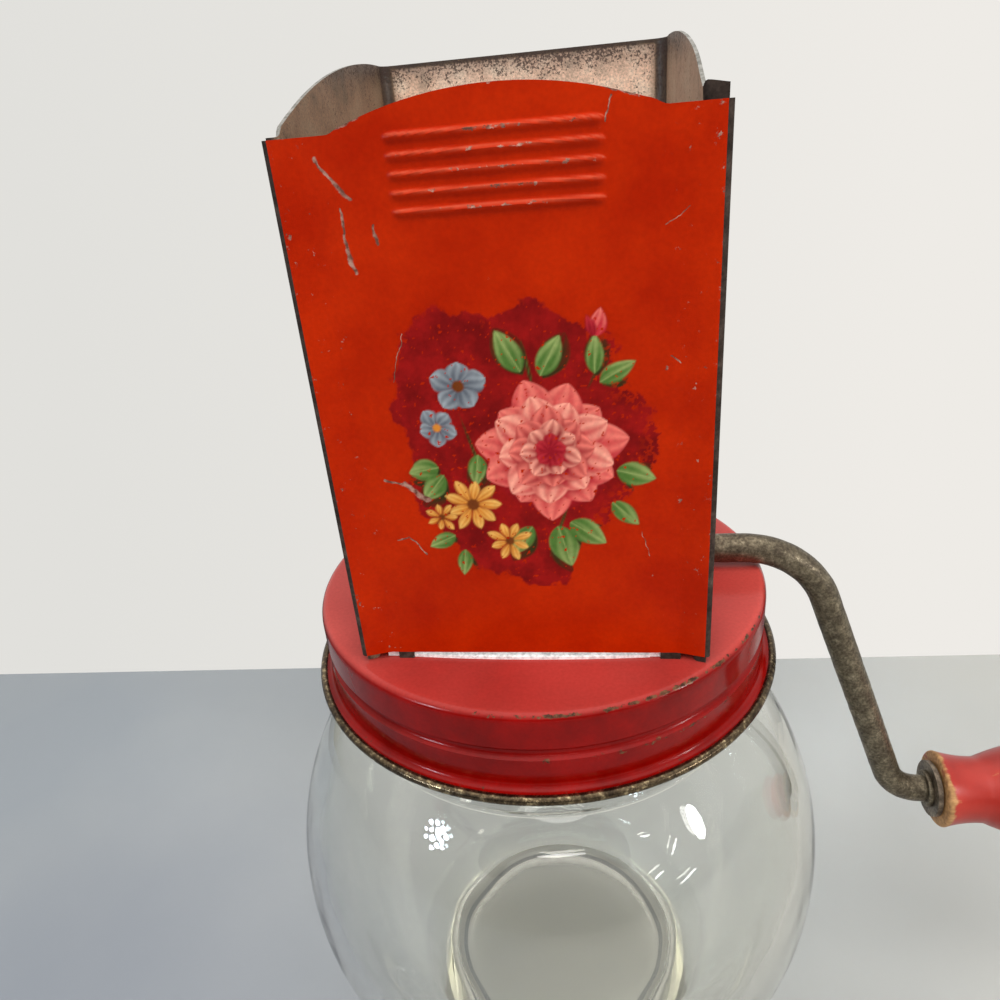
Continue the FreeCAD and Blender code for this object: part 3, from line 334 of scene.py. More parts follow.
@dataclass(frozen=True)
class TarnishedTin(Finish):
    """Hot-dipped tinplate left bare inside the hopper.

    Dull silver gone gold and grey in clouds, peppered with dark pits; darkened to olive-grey
    where the mesh asks for it: painted shade on the side walls and in the bends, and a darker
    band along the back's top edge.
    """

    bright: str = "FFE3C8"
    gold: str = "F2CAAE"
    grey: str = "BCA48E"
    pit: str = "3E2E28"
    # olive-greys that the painted shade multiplies in
    shade_tint: str = "8E867A"
    deep_shade_tint: str = "56524E"
    roughness: float = 0.46
    cloud_mm: float = 6.0
    grain_mm: float = 0.3
    pit_mm: float = 0.34
    scatter_mm: float = 2.2

    def surface(self, tree: NodeTree) -> Node:
        """Clouds of tarnish over grain; where the stain attribute is high, pits crowd and the
        tin is darkened, partly as stain and partly as painted shade.

        Args:
            tree: the material's tree.

        Returns:
            The shader.
        """
        place = millimetres(tree)
        stain = add(tree, "Attribute", attribute_name="stain")
        grain = add(tree, "TexNoise", {"Vector": place, "Scale": 1.0 / self.grain_mm,
                                       "Detail": 5.0, "Roughness": 0.7})
        shade = add(tree, "MapRange", {0: grain, 1: 0.35, 2: 0.68, 3: 0.66, 4: 1.3})
        # stain and painted shade: the tin is darkened where the stain attribute is high
        stain_and_shade_darkening = add(tree, "Math", {0: stain.outputs["Fac"], 1: -0.5, 2: 1.0},
                  operation="MULTIPLY_ADD")
        shaded = add(tree, "Math", {0: shade, 1: stain_and_shade_darkening}, operation="MULTIPLY")
        grained = add(tree, "Mix", {0: 1.0, 6: self.tarnish(tree, place), 7: shaded},
                      data_type="RGBA", blend_type="MULTIPLY")
        pitted = self.pits(tree, place, stain)
        base = add(tree, "Mix", {0: pitted, 6: grained.outputs[2], 7: linear(self.pit)},
                   data_type="RGBA")
        rough = add(tree, "Math", {0: pitted, 1: 0.3, 2: self.roughness},
                    operation="MULTIPLY_ADD")
        height = add(tree, "Math", {0: pitted, 1: -1.0, 2: grain}, operation="MULTIPLY_ADD")
        bump = add(tree, "Bump", {"Height": height, "Strength": 0.5, "Distance": 0.06 * MM})
        return add(tree, "BsdfPrincipled", {
            "Base Color": base.outputs[2], "Metallic": 0.1, "Roughness": rough,
            "Normal": bump,
        })

    def tarnish(self, tree: NodeTree, place: Node) -> NodeSocket:
        """Grey, gold and bright clouds, darkened to olive-grey as painted shade where the mesh
        asks.

        Args:
            tree: the material's tree.
            place: coordinates in millimetres.

        Returns:
            The socket that gives the colour.
        """
        clouds = add(tree, "TexNoise", {"Vector": place, "Scale": 1.0 / self.cloud_mm,
                                        "Detail": 7.0, "Roughness": 0.65})
        tone = add(tree, "ValToRGB", {0: clouds},
                   stops=[(0.36, self.grey), (0.5, self.gold), (0.66, self.bright)])
        # painted shade: darkens the tin to olive-grey on the side walls and in the bends
        wall_shade = add(tree, "Attribute", attribute_name="wall_shade")
        shade_tint = add(tree, "ValToRGB", {0: wall_shade.outputs["Fac"]},
                   stops=[(0.0, WHITE), (0.6, self.shade_tint), (1.0, self.deep_shade_tint)])
        return add(tree, "Mix", {0: 1.0, 6: tone, 7: shade_tint}, data_type="RGBA",
                   blend_type="MULTIPLY").outputs[2]

    def pits(self, tree: NodeTree, place: Node, stain: Node) -> Node:
        """Small dark pits, scattered thinly and crowded where the tin is stained.

        Args:
            tree: the material's tree.
            place: coordinates in millimetres.
            stain: the attribute that says how stained the tin is.

        Returns:
            A node whose first output is near 1 in the pits.
        """
        pits = add(tree, "TexNoise", {"Vector": place, "Scale": 1.0 / self.pit_mm,
                                      "Detail": 3.0, "Roughness": 0.7})
        scatter = add(tree, "TexNoise", {"Vector": place, "Scale": 1.0 / self.scatter_mm,
                                         "Detail": 4.0, "Roughness": 0.65})
        risk = add(tree, "Math", {0: stain.outputs["Fac"], 1: 0.3, 2: scatter},
                   operation="MULTIPLY_ADD")
        reach = add(tree, "MapRange", {0: risk, 1: 0.42, 2: 0.86, 3: 0.33, 4: 0.56})
        inside = add(tree, "Math", {0: reach, 1: pits}, operation="SUBTRACT")
        return add(tree, "MapRange", {0: inside, 1: 0.0, 2: 0.05, 3: 0.0, 4: 0.85})


@dataclass(frozen=True)
class DarkenedSteel(Finish):
    """Cold-drawn steel that lost its plating and browned.

    Olive-brown and pitted, with brighter rubbed specks scattered through its mottling.
    """

    dark: str = "3E342B"
    mid: str = "6B5D4E"
    rubbed: str = "A8977F"
    metallic: float = 0.8
    roughness: float = 0.4
    grain_mm: float = 0.55
    mottle_mm: float = 2.6
    gloss: float = 0.5
    pitting: float = 0.55

    def surface(self, tree: NodeTree) -> Node:
        """Mottled metal with a pitted bump.

        Args:
            tree: the material's tree.

        Returns:
            The shader.
        """
        place = millimetres(tree)
        mottle = add(tree, "TexNoise", {"Vector": place, "Scale": 1.0 / self.mottle_mm,
                                        "Detail": 6.0, "Roughness": 0.68})
        tone = add(tree, "ValToRGB", {0: mottle},
                   stops=[(0.36, self.dark), (0.54, self.mid), (0.72, self.rubbed)])
        grain = add(tree, "TexNoise", {"Vector": place, "Scale": 1.0 / self.grain_mm,
                                       "Detail": 4.0, "Roughness": 0.6})
        shade = add(tree, "MapRange", {0: grain, 1: 0.35, 2: 0.65, 3: 0.72, 4: 1.2})
        base = add(tree, "Mix", {0: 1.0, 6: tone, 7: shade}, data_type="RGBA",
                   blend_type="MULTIPLY")
        rough = add(tree, "MapRange", {0: grain, 1: 0.3, 2: 0.7,
                                       3: self.roughness + 0.15, 4: self.roughness - 0.08})
        bump = add(tree, "Bump", {"Height": grain, "Strength": self.pitting,
                                  "Distance": 0.08 * MM})
        return add(tree, "BsdfPrincipled", {
            "Base Color": base.outputs[2], "Metallic": self.metallic, "Roughness": rough,
            "Specular IOR Level": self.gloss, "Normal": bump,
        })


@dataclass(frozen=True)
class PressedGlass(Finish):
    """Soda-lime glass, pressed and fire-polished.

    Clear with a faint green depth, and slow ripples that bend what is seen through it.
    """

    tint: str = "FDFDFB"
    depth: str = "DAD8BC"
    density: float = 24.0
    roughness: float = 0.0
    ripple_mm: float = 9.0

    def material(self) -> bpy.types.Material:
        """Make the glass, with the faint olive that shows where it is thick.

        Returns:
            The material, shared by all that has this finish.
        """
        made = super().material()
        tree = made.node_tree
        out = next(node for node in tree.nodes if node.type == "OUTPUT_MATERIAL")
        if not out.inputs["Volume"].is_linked:
            body = add(tree, "VolumeAbsorption", {"Color": linear(self.depth),
                                                  "Density": self.density})
            tree.links.new(body.outputs[0], out.inputs["Volume"])
        return made

    def surface(self, tree: NodeTree) -> Node:
        """A clean dielectric with a very slow bump.

        Args:
            tree: the material's tree.

        Returns:
            The shader.
        """
        place = millimetres(tree)
        ripple = add(tree, "TexNoise", {"Vector": place, "Scale": 1.0 / self.ripple_mm,
                                        "Detail": 1.0})
        bump = add(tree, "Bump", {"Height": ripple, "Strength": 0.35, "Distance": 0.12 * MM})
        return add(tree, "BsdfPrincipled", {
            "Base Color": linear(self.tint), "Metallic": 0.0, "Roughness": self.roughness,
            "IOR": 1.5, "Transmission Weight": 1.0, "Normal": bump,
        })


@dataclass(frozen=True)
class PaintedWood(Finish):
    """Turned beech, dipped in red paint and worn by the hand.

    Close straight grain shows through where the paint thins.
    """

    paint: str = "A82414"
    thin_paint: str = "8E1A0E"
    wood: str = "B98A58"
    dark_wood: str = "8A6238"
    grain_mm: float = 0.6  # beech is finer; this is as coarse as it needs to show
    patch_mm: float = 5.0

    def surface(self, tree: NodeTree) -> Node:
        """Paint over stretched grain, thin on the swell and at the ends.

        Args:
            tree: the material's tree.

        Returns:
            The shader.
        """
        place = millimetres(tree)
        drawn = add(tree, "Mapping", {"Vector": place, "Scale": (0.12, 1.0, 1.0)})
        grain = add(tree, "TexNoise", {"Vector": drawn, "Scale": 1.0 / self.grain_mm,
                                       "Detail": 5.0})
        patches = add(tree, "TexNoise", {"Vector": place, "Scale": 1.0 / self.patch_mm,
                                         "Detail": 4.0})
        wear = add(tree, "Attribute", attribute_name="wear")
        thin = add(tree, "Math", {0: wear.outputs["Fac"], 1: 0.4, 2: patches},
                   operation="MULTIPLY_ADD")
        both = add(tree, "Math", {0: grain, 1: 0.25, 2: thin}, operation="MULTIPLY_ADD")
        bare = add(tree, "MapRange", {0: both, 1: 0.78, 2: 0.9, 3: 0.0, 4: 1.0})
        wood = add(tree, "ValToRGB", {0: grain},
                   stops=[(0.35, self.dark_wood), (0.65, self.wood)])
        paint = add(tree, "ValToRGB", {0: patches},
                    stops=[(0.3, self.thin_paint), (0.7, self.paint)])
        base = add(tree, "Mix", {0: bare, 6: paint.outputs[0], 7: wood.outputs[0]},
                   data_type="RGBA")
        rough = add(tree, "MapRange", {0: bare, 1: 0.0, 2: 1.0, 3: 0.32, 4: 0.6})
        bump = add(tree, "Bump", {"Height": grain, "Strength": 0.3, "Distance": 0.05 * MM})
        return add(tree, "BsdfPrincipled", {
            "Base Color": base.outputs[2], "Roughness": rough, "IOR": 1.5, "Normal": bump,
        })


@dataclass(frozen=True)
class Paperboard(Finish):
    """Pressed paperboard, waxed: a soft brown with short grey fibres."""

    colour: str = "B39A78"
    shade: str = "8F7858"
    fibre_mm: float = 0.4  # real fibres are finer; this is as coarse as they need to show

    def surface(self, tree: NodeTree) -> Node:
        """Fibres drawn as a fine noise.

        Args:
            tree: the material's tree.

        Returns:
            The shader.
        """
        place = millimetres(tree)
        fibres = add(tree, "TexNoise", {"Vector": place, "Scale": 1.0 / self.fibre_mm,
                                        "Detail": 5.0})
        tone = add(tree, "ValToRGB", {0: fibres},
                   stops=[(0.3, self.shade), (0.7, self.colour)])
        bump = add(tree, "Bump", {"Height": fibres, "Strength": 0.4, "Distance": 0.05 * MM})
        return add(tree, "BsdfPrincipled", {
            "Base Color": tone.outputs[0], "Roughness": 0.75, "Normal": bump,
        })


@dataclass(frozen=True)
class Tabletop(Finish):
    """Painted board: a matt grey-blue, with a painted shadow round what stands on it, a painted
    cool shade to its left and painted light that falls off towards the left.
    """

    left: str = "8D9296"
    right: str = "B6B5AE"
    painted_cool_shade: str = "E8E9EF"
    cloud_mm: float = 60.0
    painted_shadow_centre: Place = (8.0, -22.0, 0.0)
    painted_shadow_reach: tuple[float, float] = (24.0, 88.0)
    painted_cool_shade_centre: Place = (-90.0, -30.0, 0.0)
    painted_cool_shade_reach: tuple[float, float] = (20.0, 100.0)

    def surface(self, tree: NodeTree) -> Node:
        """Nearly plain; it fades from a darker grey-blue on the left to a lighter, warmer grey,
        which is painted light falling off towards the left.

        Args:
            tree: the material's tree.

        Returns:
            The shader.
        """
        place = millimetres(tree)
        split = add(tree, "SeparateXYZ", {0: place})
        cloud = add(tree, "TexNoise", {"Vector": place, "Scale": 1.0 / self.cloud_mm,
                                       "Detail": 3.0})
        # painted light falloff: darker and bluer on the left, lighter and warmer on the right
        share = add(tree, "MapRange", {0: split.outputs["X"], 1: -160.0, 2: 160.0, 3: -0.2,
                                       4: 0.8})
        mixed = add(tree, "Math", {0: cloud, 1: 0.4, 2: share}, operation="MULTIPLY_ADD")
        tone = add(tree, "ValToRGB", {0: mixed}, stops=[(0.0, self.left), (1.0, self.right)])
        # painted shadow round the jar, which itself casts none
        away = add(tree, "VectorMath", {0: place, 1: self.painted_shadow_centre}, operation="DISTANCE")
        near, far = self.painted_shadow_reach
        painted_shadow = add(tree, "MapRange", {0: away.outputs["Value"], 1: near, 2: far, 3: 0.8,
                                      4: 1.0}, interpolation_type="SMOOTHSTEP")
        shaded = add(tree, "Mix", {0: 1.0, 6: tone, 7: painted_shadow}, data_type="RGBA",
                     blend_type="MULTIPLY")
        # painted cool shade: a darker bluish patch to the left of the object
        beside = add(tree, "VectorMath", {0: place, 1: self.painted_cool_shade_centre},
                     operation="DISTANCE")
        near, far = self.painted_cool_shade_reach
        cool = add(tree, "MapRange", {0: beside.outputs["Value"], 1: near, 2: far, 3: 0.0,
                                      4: 1.0}, interpolation_type="SMOOTHSTEP")
        painted_cool_shade = add(tree, "ValToRGB", {0: cool}, stops=[(0.0, self.painted_cool_shade), (1.0, WHITE)])
        shaded = add(tree, "Mix", {0: 1.0, 6: shaded.outputs[2], 7: painted_cool_shade}, data_type="RGBA",
                     blend_type="MULTIPLY")
        return add(tree, "BsdfPrincipled", {"Base Color": shaded.outputs[2],
                                            "Roughness": 0.7})


# scratches on the front panel: start x, z, end x, z, half width
SCRATCHES: tuple[Stroke, ...] = (
    (-17.4, 156.1, -15.9, 153.9, 0.20), (-15.9, 153.9, -14.5, 152.2, 0.30),
    (-15.7, 151.3, -15.6, 148.2, 0.16), (-15.6, 148.2, -14.9, 144.8, 0.26),
    (-15.5, 121.1, -13.2, 120.4, 0.18), (-13.2, 120.4, -10.4, 118.3, 0.34),
    (-14.8, 113.0, -13.6, 113.2, 0.13), (-13.4, 113.3, -11.6, 110.9, 0.10),
    (19.2, 149.3, 17.1, 147.6, 0.07), (11.9, 159.4, 11.2, 157.2, 0.10),
    (17.7, 134.6, 18.8, 133.8, 0.08), (-12.4, 149.5, -12.0, 147.6, 0.18),
    (14.8, 113.5, 15.6, 110.2, 0.06), (-10.9, 138.4, -12.6, 133.0, 0.06),
)

# a strong orange-red with a satin shine, chipped on its folds and scratched, and a painted
# highlight along the rib crests
PANEL_ENAMEL = BakedEnamel("orange_red_enamel_baked_on_tinplate", strokes=SCRATCHES)
# the same coat over the printed flowers, so that both shine and chip alike
TRANSFER_ENAMEL = BakedEnamel("flower_transfer_under_baked_varnish", strokes=SCRATCHES,
                              transfer=True)
# the same coat round the outside of the hopper, without the scratches
SHELL_ENAMEL = BakedEnamel("orange_red_enamel_on_hopper_shell")
# a deeper, glossier red that goes chalky pink on top and brown where it is chipped; the pink top
# is partly fading and partly painted light that makes it paler than the sides
LID_ENAMEL = BakedEnamel("red_enamel_baked_on_lid_tinplate", colour="840401", deep="6B0200",
                         chalk_and_highlight="C04A42", worn="6E4A32", rust="3E2418", roughness=0.15,
                         gloss=0.17, patch_mm=7.0)
# warm silver peppered with dark pits, with painted shade that makes it olive-grey on the walls
# and in the bends
HOPPER_TIN = TarnishedTin("hot_dipped_tinplate_tarnished")
# a dark, matt line round the folded edges: browned bare tin, and painted shade that makes the
# folds and flanges nearly black
FOLD_TIN_AND_SHADE = DarkenedSteel("folded_tinplate_browned_painted_shade", dark="281F1A", mid="3A2F29",
                         rubbed="54463D", metallic=0.0, roughness=0.6, gloss=0.1)
# a thin light-grey line on the cut edges: bare tin, lightened as a painted highlight where the
# edge catches the light
RIM_TIN_HIGHLIGHT = DarkenedSteel("sheared_tinplate_edge_painted_highlight", dark="6C6962", mid="8A8780",
                        rubbed="A6A29C", metallic=0.2, roughness=0.5, gloss=0.3)
# a brown bead that glitters in small bright specks
CURL_TIN = DarkenedSteel("rolled_tinplate_curl_tarnished", dark="3A3026", mid="635440",
                         rubbed="CFBA92", metallic=0.95, roughness=0.22, grain_mm=0.35,
                         mottle_mm=1.1, pitting=0.3)
# an olive-brown rod, pitted, with a dull shine along it
ROD_STEEL = DarkenedSteel("cold_drawn_steel_rod_browned", dark="544A3D", mid="6E6452",
                          rubbed="928671", grain_mm=0.4, mottle_mm=1.6)
# half-bright grey metal, cleaner than the rod because it works inside
CUTTER_STEEL = DarkenedSteel("stamped_steel_tinned", dark="6A6258", mid="A29A8C",
                             rubbed="CFC7B8", metallic=0.9, roughness=0.32)
# a nearly white strip under the panel, almost without mottling
COMB_TIN = DarkenedSteel("bright_tinplate_comb", dark="F3EFEC", mid="F8F5F2",
                         rubbed="FCFAF8", metallic=0.1, roughness=0.35)
# dull brown-grey rings at the knob's ends
WASHER_STEEL = DarkenedSteel("punched_steel_washer_tarnished", dark="4A4036", mid="7C6F60",
                             rubbed="B0A390")
# clear, with slow ripples and a faint olive where it is thick
JAR_GLASS = PressedGlass("soda_lime_glass_pressed")
# a frosted grey disc under the jar: frosting where tables have rubbed it, and a grey tint that
# is painted shade for the shadow under the jar
BASE_GLASS_SHADED = PressedGlass("soda_lime_glass_base_scuffed_painted_shade", tint="BCB8B0", roughness=0.45)
# a warm red, with pale wood where hands and washers wore it off
KNOB_PAINT = PaintedWood("turned_beech_painted_red")
# a soft brown ring that shows only under the lid
LINER_BOARD = Paperboard("pressed_paperboard_waxed")
# a cool grey that takes the object's shadow; painted on it are a shadow round the jar, a cool
# shade to its left and light that falls off towards the left
FLOOR_PAINT = Tabletop("painted_board_matt")


# ------ drawing


class Outline:
    """A chain of edges drawn in the XZ plane with bmesh operators, in millimetres."""

    def __init__(self, x: float, z: float) -> None:
        """Start the chain at a point."""
        self.mesh = bmesh.new()
        self.tip = self.mesh.verts.new((x, 0.0, z))

    def line(self, x: float, z: float, steps: int = 1) -> Outline:
        """Draw a straight run to a point.

        Args:
            x: place of the run's end.
            z: height of the run's end.
            steps: equal edges along it.

        Returns:
            The outline itself.
        """
        start, goal = self.tip.co.copy(), Vector((x, 0.0, z))
        for count in range(1, steps + 1):
            made = bmesh.ops.extrude_vert_indiv(self.mesh, verts=[self.tip])
            self.tip = made["verts"][0]
            self.tip.co = start.lerp(goal, count / steps)
        return self

    def arc(self, x: float, z: float, radius: float, side: Side, steps: int = 8) -> Outline:
        """Draw the short arc of a radius to a point.

        Args:
            x: place of the arc's end.
            z: height of the arc's end.
            radius: radius of the arc.
            side: the way it bends.
            steps: edges along it.

        Returns:
            The outline itself.
        """
        start, goal = self.tip.co.copy(), Vector((x, 0.0, z))
        chord = goal - start
        half = chord.length / 2.0
        left = Vector((-chord.z, 0.0, chord.x)).normalized()
        depth = math.sqrt(max(radius * radius - half * half, 0.0))
        centre = start + chord / 2.0 + left * (side.value * depth)
        made = bmesh.ops.spin(self.mesh, geom=[self.tip], cent=centre,
                              axis=(0.0, -side.value, 0.0),
                              angle=2.0 * math.asin(min(half / radius, 1.0)), steps=steps)
        self.tip = next(item for item in made["geom_last"] if isinstance(item, BMVert))
        self.tip.co = goal
        return self

    def turned(self, steps: int, axis: Place = UPWARD) -> BMesh:
        """Spin the chain a full turn and close its seam and poles.

        Args:
            steps: faces round the turn.
            axis: the way of the axis, which runs through the origin.

        Returns:
            The turned mesh.
        """
        bmesh.ops.spin(self.mesh, geom=self.mesh.verts[:] + self.mesh.edges[:], cent=ORIGIN,
                       axis=axis, angle=FULL_TURN, steps=steps, use_merge=True)
        bmesh.ops.remove_doubles(self.mesh, verts=self.mesh.verts, dist=1e-5)
        bmesh.ops.recalc_face_normals(self.mesh, faces=self.mesh.faces)
        return self.mesh

    def raised(self, levels: Sequence[float]) -> BMesh:
        """Lay the chain flat, with its z as the distance in front, and raise it to a sheet.

        Args:
            levels: the height of each row of the sheet.

        Returns:
            The sheet's mesh.
        """
        bmesh.ops.rotate(self.mesh, cent=ORIGIN, verts=self.mesh.verts,
                         matrix=Matrix.Rotation(math.pi / 2.0, 3, "X"))
        bmesh.ops.translate(self.mesh, verts=self.mesh.verts, vec=(0.0, 0.0, levels[0]))
        row = self.mesh.edges[:]
        for low, high in zip(levels, levels[1:]):
            row = pull(self.mesh, row, Vector((0.0, 0.0, high - low)))
        return self.mesh


def pull(mesh: BMesh, row: list[BMEdge], way: Vector) -> list[BMEdge]:
    """Extrude a row of edges and move what is new.

    Args:
        mesh: the mesh that holds the row.
        row: the edges to extrude.
        way: how far the new row goes.

    Returns:
        The new row.
    """
    made = bmesh.ops.extrude_edge_only(mesh, edges=row)["geom"]
    fresh = {item for item in made if isinstance(item, BMVert)}
    bmesh.ops.translate(mesh, verts=list(fresh), vec=way)
    return [item for item in made if isinstance(item, BMEdge) and set(item.verts) <= fresh]


def store(mesh: BMesh, name: str, share: Callable[[Vector], float]) -> None:
    """Store how worn or how stained each point is, for the finishes to read.

    Args:
        mesh: the mesh that gets the attribute.
        name: the attribute's name.
        share: gives the value at a place in millimetres.
    """
    layer = mesh.verts.layers.float.new(name)
    for vert in mesh.verts:
        vert[layer] = share(vert.co)


def face_way(mesh: BMesh, way: Vector) -> None:
    """Turn an open sheet so that its faces, taken together, look a given way.

    Args:
        mesh: the sheet.
        way: the way its front has to look.
    """
    mesh.normal_update()
    total = sum((face.normal * face.calc_area() for face in mesh.faces), Vector())
    if total.dot(way) < 0.0:
        bmesh.ops.reverse_faces(mesh, faces=mesh.faces)


def as_data(name: str, mesh: BMesh) -> bpy.types.Mesh:
    """Turn a drawn mesh from millimetres to mesh data in metres, and free it.

    Args:
        name: the data's name.
        mesh: the mesh in millimetres.

    Returns:
        The mesh data.
    """
    bmesh.ops.scale(mesh, vec=(MM, MM, MM), verts=mesh.verts)
    data = bpy.data.meshes.new(name)
    mesh.to_mesh(data)
    mesh.free()
    return data


def put(name: str, data: bpy.types.ID) -> bpy.types.Object:
    """Put data into the scene as an object at the origin.

    Args:
        name: the object's name.
        data: its mesh, lamp or camera.

    Returns:
        The object.
    """
    thing = bpy.data.objects.new(name, data)
    bpy.context.scene.collection.objects.link(thing)
    return thing


def make_piece(name: str, mesh: BMesh, body: Body, finishes: Sequence[Finish],
               nodes: Sequence[str] = (), crease: float = 40.0,
               sheet: float = 0.0) -> bpy.types.Object:
    """Finish a drawn mesh as a piece of the object.

    Args:
        name: the piece's name.
        mesh: the mesh in millimetres, freed here.
        body: the body it moves with.
        finishes: its materials, outside first, then inside and edge for a sheet.
        nodes: the CAD nodes it stands for.
        crease: edges sharper than this many degrees stay sharp.
        sheet: the thickness of a sheet, or 0 for a solid.

    Returns:
        The object.
    """
    data = as_data(name, mesh)
    for finish in finishes:
        data.materials.append(finish.material())
    data.shade_smooth()
    data.set_sharp_from_angle(angle=math.radians(crease))
    piece = put(name, data)
    if sheet:
        thicken(piece, sheet, crease)
    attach(piece, body.value)
    if nodes:
        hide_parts(*nodes)
    LOG.info("%s: %d faces on %s", name, len(data.polygons), body.value)
    return piece


def thicken(piece: bpy.types.Object, sheet: float, crease: float) -> None:
    """Give a sheet its thickness, with the inside and edge materials after the outside one.

    Args:
        piece: the sheet's object.
        sheet: its thickness in millimetres.
        crease: edges sharper than this many degrees stay sharp.
    """
    solid = piece.modifiers.new("sheet", "SOLIDIFY")
    solid.thickness = sheet * MM
    solid.offset = 0.0
    solid.use_even_offset = True
    solid.material_offset = 1
    solid.material_offset_rim = 2
    graph = bpy.context.evaluated_depsgraph_get()
    thick = bpy.data.meshes.new_from_object(piece.evaluated_get(graph))
    piece.modifiers.clear()
    piece.data = thick
    thick.set_sharp_from_angle(angle=math.radians(crease))


def dress_node(node: str, finish: Finish) -> None:
    """Give a CAD node its material.

    Args:
        node: the node's name.
        finish: the finish it gets.
    """
    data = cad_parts[node].data
    data.materials.clear()
    data.materials.append(finish.material())
    LOG.info("%s: CAD node with %s", node, finish.name)


# ------ the jar


@dataclass
class GlassJar:
    """The round jar with its foot ring, straight neck and screw thread."""

    height: float = 93.7
    belly_radius: float = 45.4
    belly_height: float = 43.1
    glass: float = 3.0
    fillet: float = 1.0
    ridge: float = 0.32
    push_up: float = 2.0
    push_up_radius: float = 21.4
    ring_radius: float = 22.4
    foot_radius: float = 24.4
    foot_round: float = 2.6
    heel_height: float = 9.0
    floor_middle: float = 5.4
    floor_edge: float = 11.0
    neck_radius: float = 31.6
    neck_bore: float = 28.8
    rim_round: float = 1.2
    thread_height: float = 83.15
    thread_pitch: float = 4.2
    thread_turns: float = 1.5
    thread_rise: float = 1.35
    thread_half: float = 1.0
    thread_fade: float = 0.05
    wave_length: float = 11.0
    ripple_length: float = 5.0
    wave_height: float = 0.06
    foot_wave: float = 0.08
    segments: int = 200
    disc_rows: int = 24
    floor_rows: int = 30

    @property
    def neck_rise(self) -> float:
        """Height of the fillet's centre above the belly's."""
        away = self.neck_radius + self.fillet
        return math.sqrt((self.belly_radius + self.fillet) ** 2 - away ** 2)

    @property
    def touch(self) -> float:
        """Share of the line from the belly's centre to the fillet's that is in the belly."""
        return self.belly_radius / (self.belly_radius + self.fillet)

    def build(self) -> None:
        """Spin the jar's profile, raise its ridge and thread, and dress it."""
        mesh = self.profile().turned(self.segments)
        self.raise_ridge(mesh, self.belly_height + self.neck_rise * self.touch,
                         self.belly_height + self.neck_rise)
        self.raise_thread(mesh)
        self.settle(mesh)
        # the foot's underside takes the grey base glass: scuffing, and painted shade for the
        # shadow under the jar
        for face in mesh.faces:
            middle = face.calc_center_median()
            under = middle.z < self.push_up + 0.05
            if under and math.hypot(middle.x, middle.y) < self.foot_radius - 0.4:
                face.material_index = 1
        jar = make_piece("glass_jar_pressed", mesh, Body.JAR, [JAR_GLASS, BASE_GLASS_SHADED],
                         ["glass_jar"])
        # the jar casts no shadow; painted shade on its base and on the floor stands in for it
        jar.visible_shadow = False
        dress_node("liner_ring", LINER_BOARD)

    def profile(self) -> Outline:
        """Draw the half section: push-up, foot ring, belly, neck, rim and the inside.

        Returns:
            The outline, from the middle of the push-up to the middle of the floor.
        """
        neck_edge = (self.neck_radius + self.fillet) * self.touch
        neck_start = self.belly_height + self.neck_rise * self.touch
        inner = self.belly_radius - self.glass
        heel = math.sqrt(self.belly_radius ** 2 - (self.belly_height - self.heel_height) ** 2)
        inner_heel = math.sqrt(inner ** 2 - (self.belly_height - self.floor_edge) ** 2)
        bore_foot = self.belly_height + math.sqrt(inner ** 2 - self.neck_bore ** 2)
        rim_foot = self.height - self.rim_round
        outline = Outline(0.0, self.push_up)
        for count in range(1, self.disc_rows + 1):
            out = count / self.disc_rows
            outline.line(self.push_up_radius * out, self.push_up * (1.0 - out ** 5))
        outline = (
            outline.line(self.ring_radius, 0.0, 4)
            .arc(self.foot_radius, self.push_up, self.foot_round, Side.LEFT, 6)
            .line(heel, self.heel_height, 5)
            .arc(neck_edge, neck_start, self.belly_radius, Side.LEFT, 70)
            .arc(self.neck_radius, self.belly_height + self.neck_rise, self.fillet,
                 Side.RIGHT, 8)
            .line(self.neck_radius, rim_foot, 44)
            .arc(self.neck_radius - self.rim_round, self.height, self.rim_round, Side.LEFT, 5)
            .line(self.neck_bore + self.rim_round, self.height)
            .arc(self.neck_bore, rim_foot, self.rim_round, Side.LEFT, 5)
            .line(self.neck_bore, bore_foot, 8)
            .arc(inner_heel, self.floor_edge, inner, Side.RIGHT, 60)
        )
        floor_rise = self.floor_edge - self.floor_middle
        for count in range(1, self.floor_rows + 1):
            away = 1.0 - count / self.floor_rows
            outline.line(inner_heel * away, self.floor_middle + floor_rise * away ** 4.27)
        return outline

    def raise_ridge(self, mesh: BMesh, low: float, high: float) -> None:
        """Swell the hollow between belly and neck, where the mould's halves met.

        Args:
            mesh: the jar's mesh.
            low: height of the hollow's lower end.
            high: height of its upper end.
        """
        mesh.normal_update()
        for vert in mesh.verts:
            outside = math.hypot(vert.co.x, vert.co.y) > self.neck_bore + 1.0
            if outside and low < vert.co.z < high:
                share = (vert.co.z - low) / (high - low)
                vert.co += vert.normal * (self.ridge * math.sin(math.pi * share))

    def settle(self, mesh: BMesh) -> None:
        """Make the inside a little uneven, as glass is where the plunger pressed it.

        Args:
            mesh: the jar's mesh.
        """
        mesh.normal_update()
        moves = []
        for vert in mesh.verts:
            radius = math.hypot(vert.co.x, vert.co.y)
            depth = self.belly_radius - math.hypot(radius, vert.co.z - self.belly_height)
            inside = step(0.6, 2.0, depth) if vert.co.z > 5.0 else 0.0
            low = 1.0 - step(12.0, 40.0, vert.co.z)
            still = step(6.0, 14.0, radius) * (1.0 - step(66.0, 74.0, vert.co.z))
            wave = (noise.noise(vert.co / self.wave_length)
                    + 0.5 * noise.noise(vert.co / self.ripple_length))
            height = self.wave_height + self.foot_wave * low
            moves.append(vert.normal * (inside * still * height * wave))
        for vert, move in zip(mesh.verts, moves):
            vert.co += move

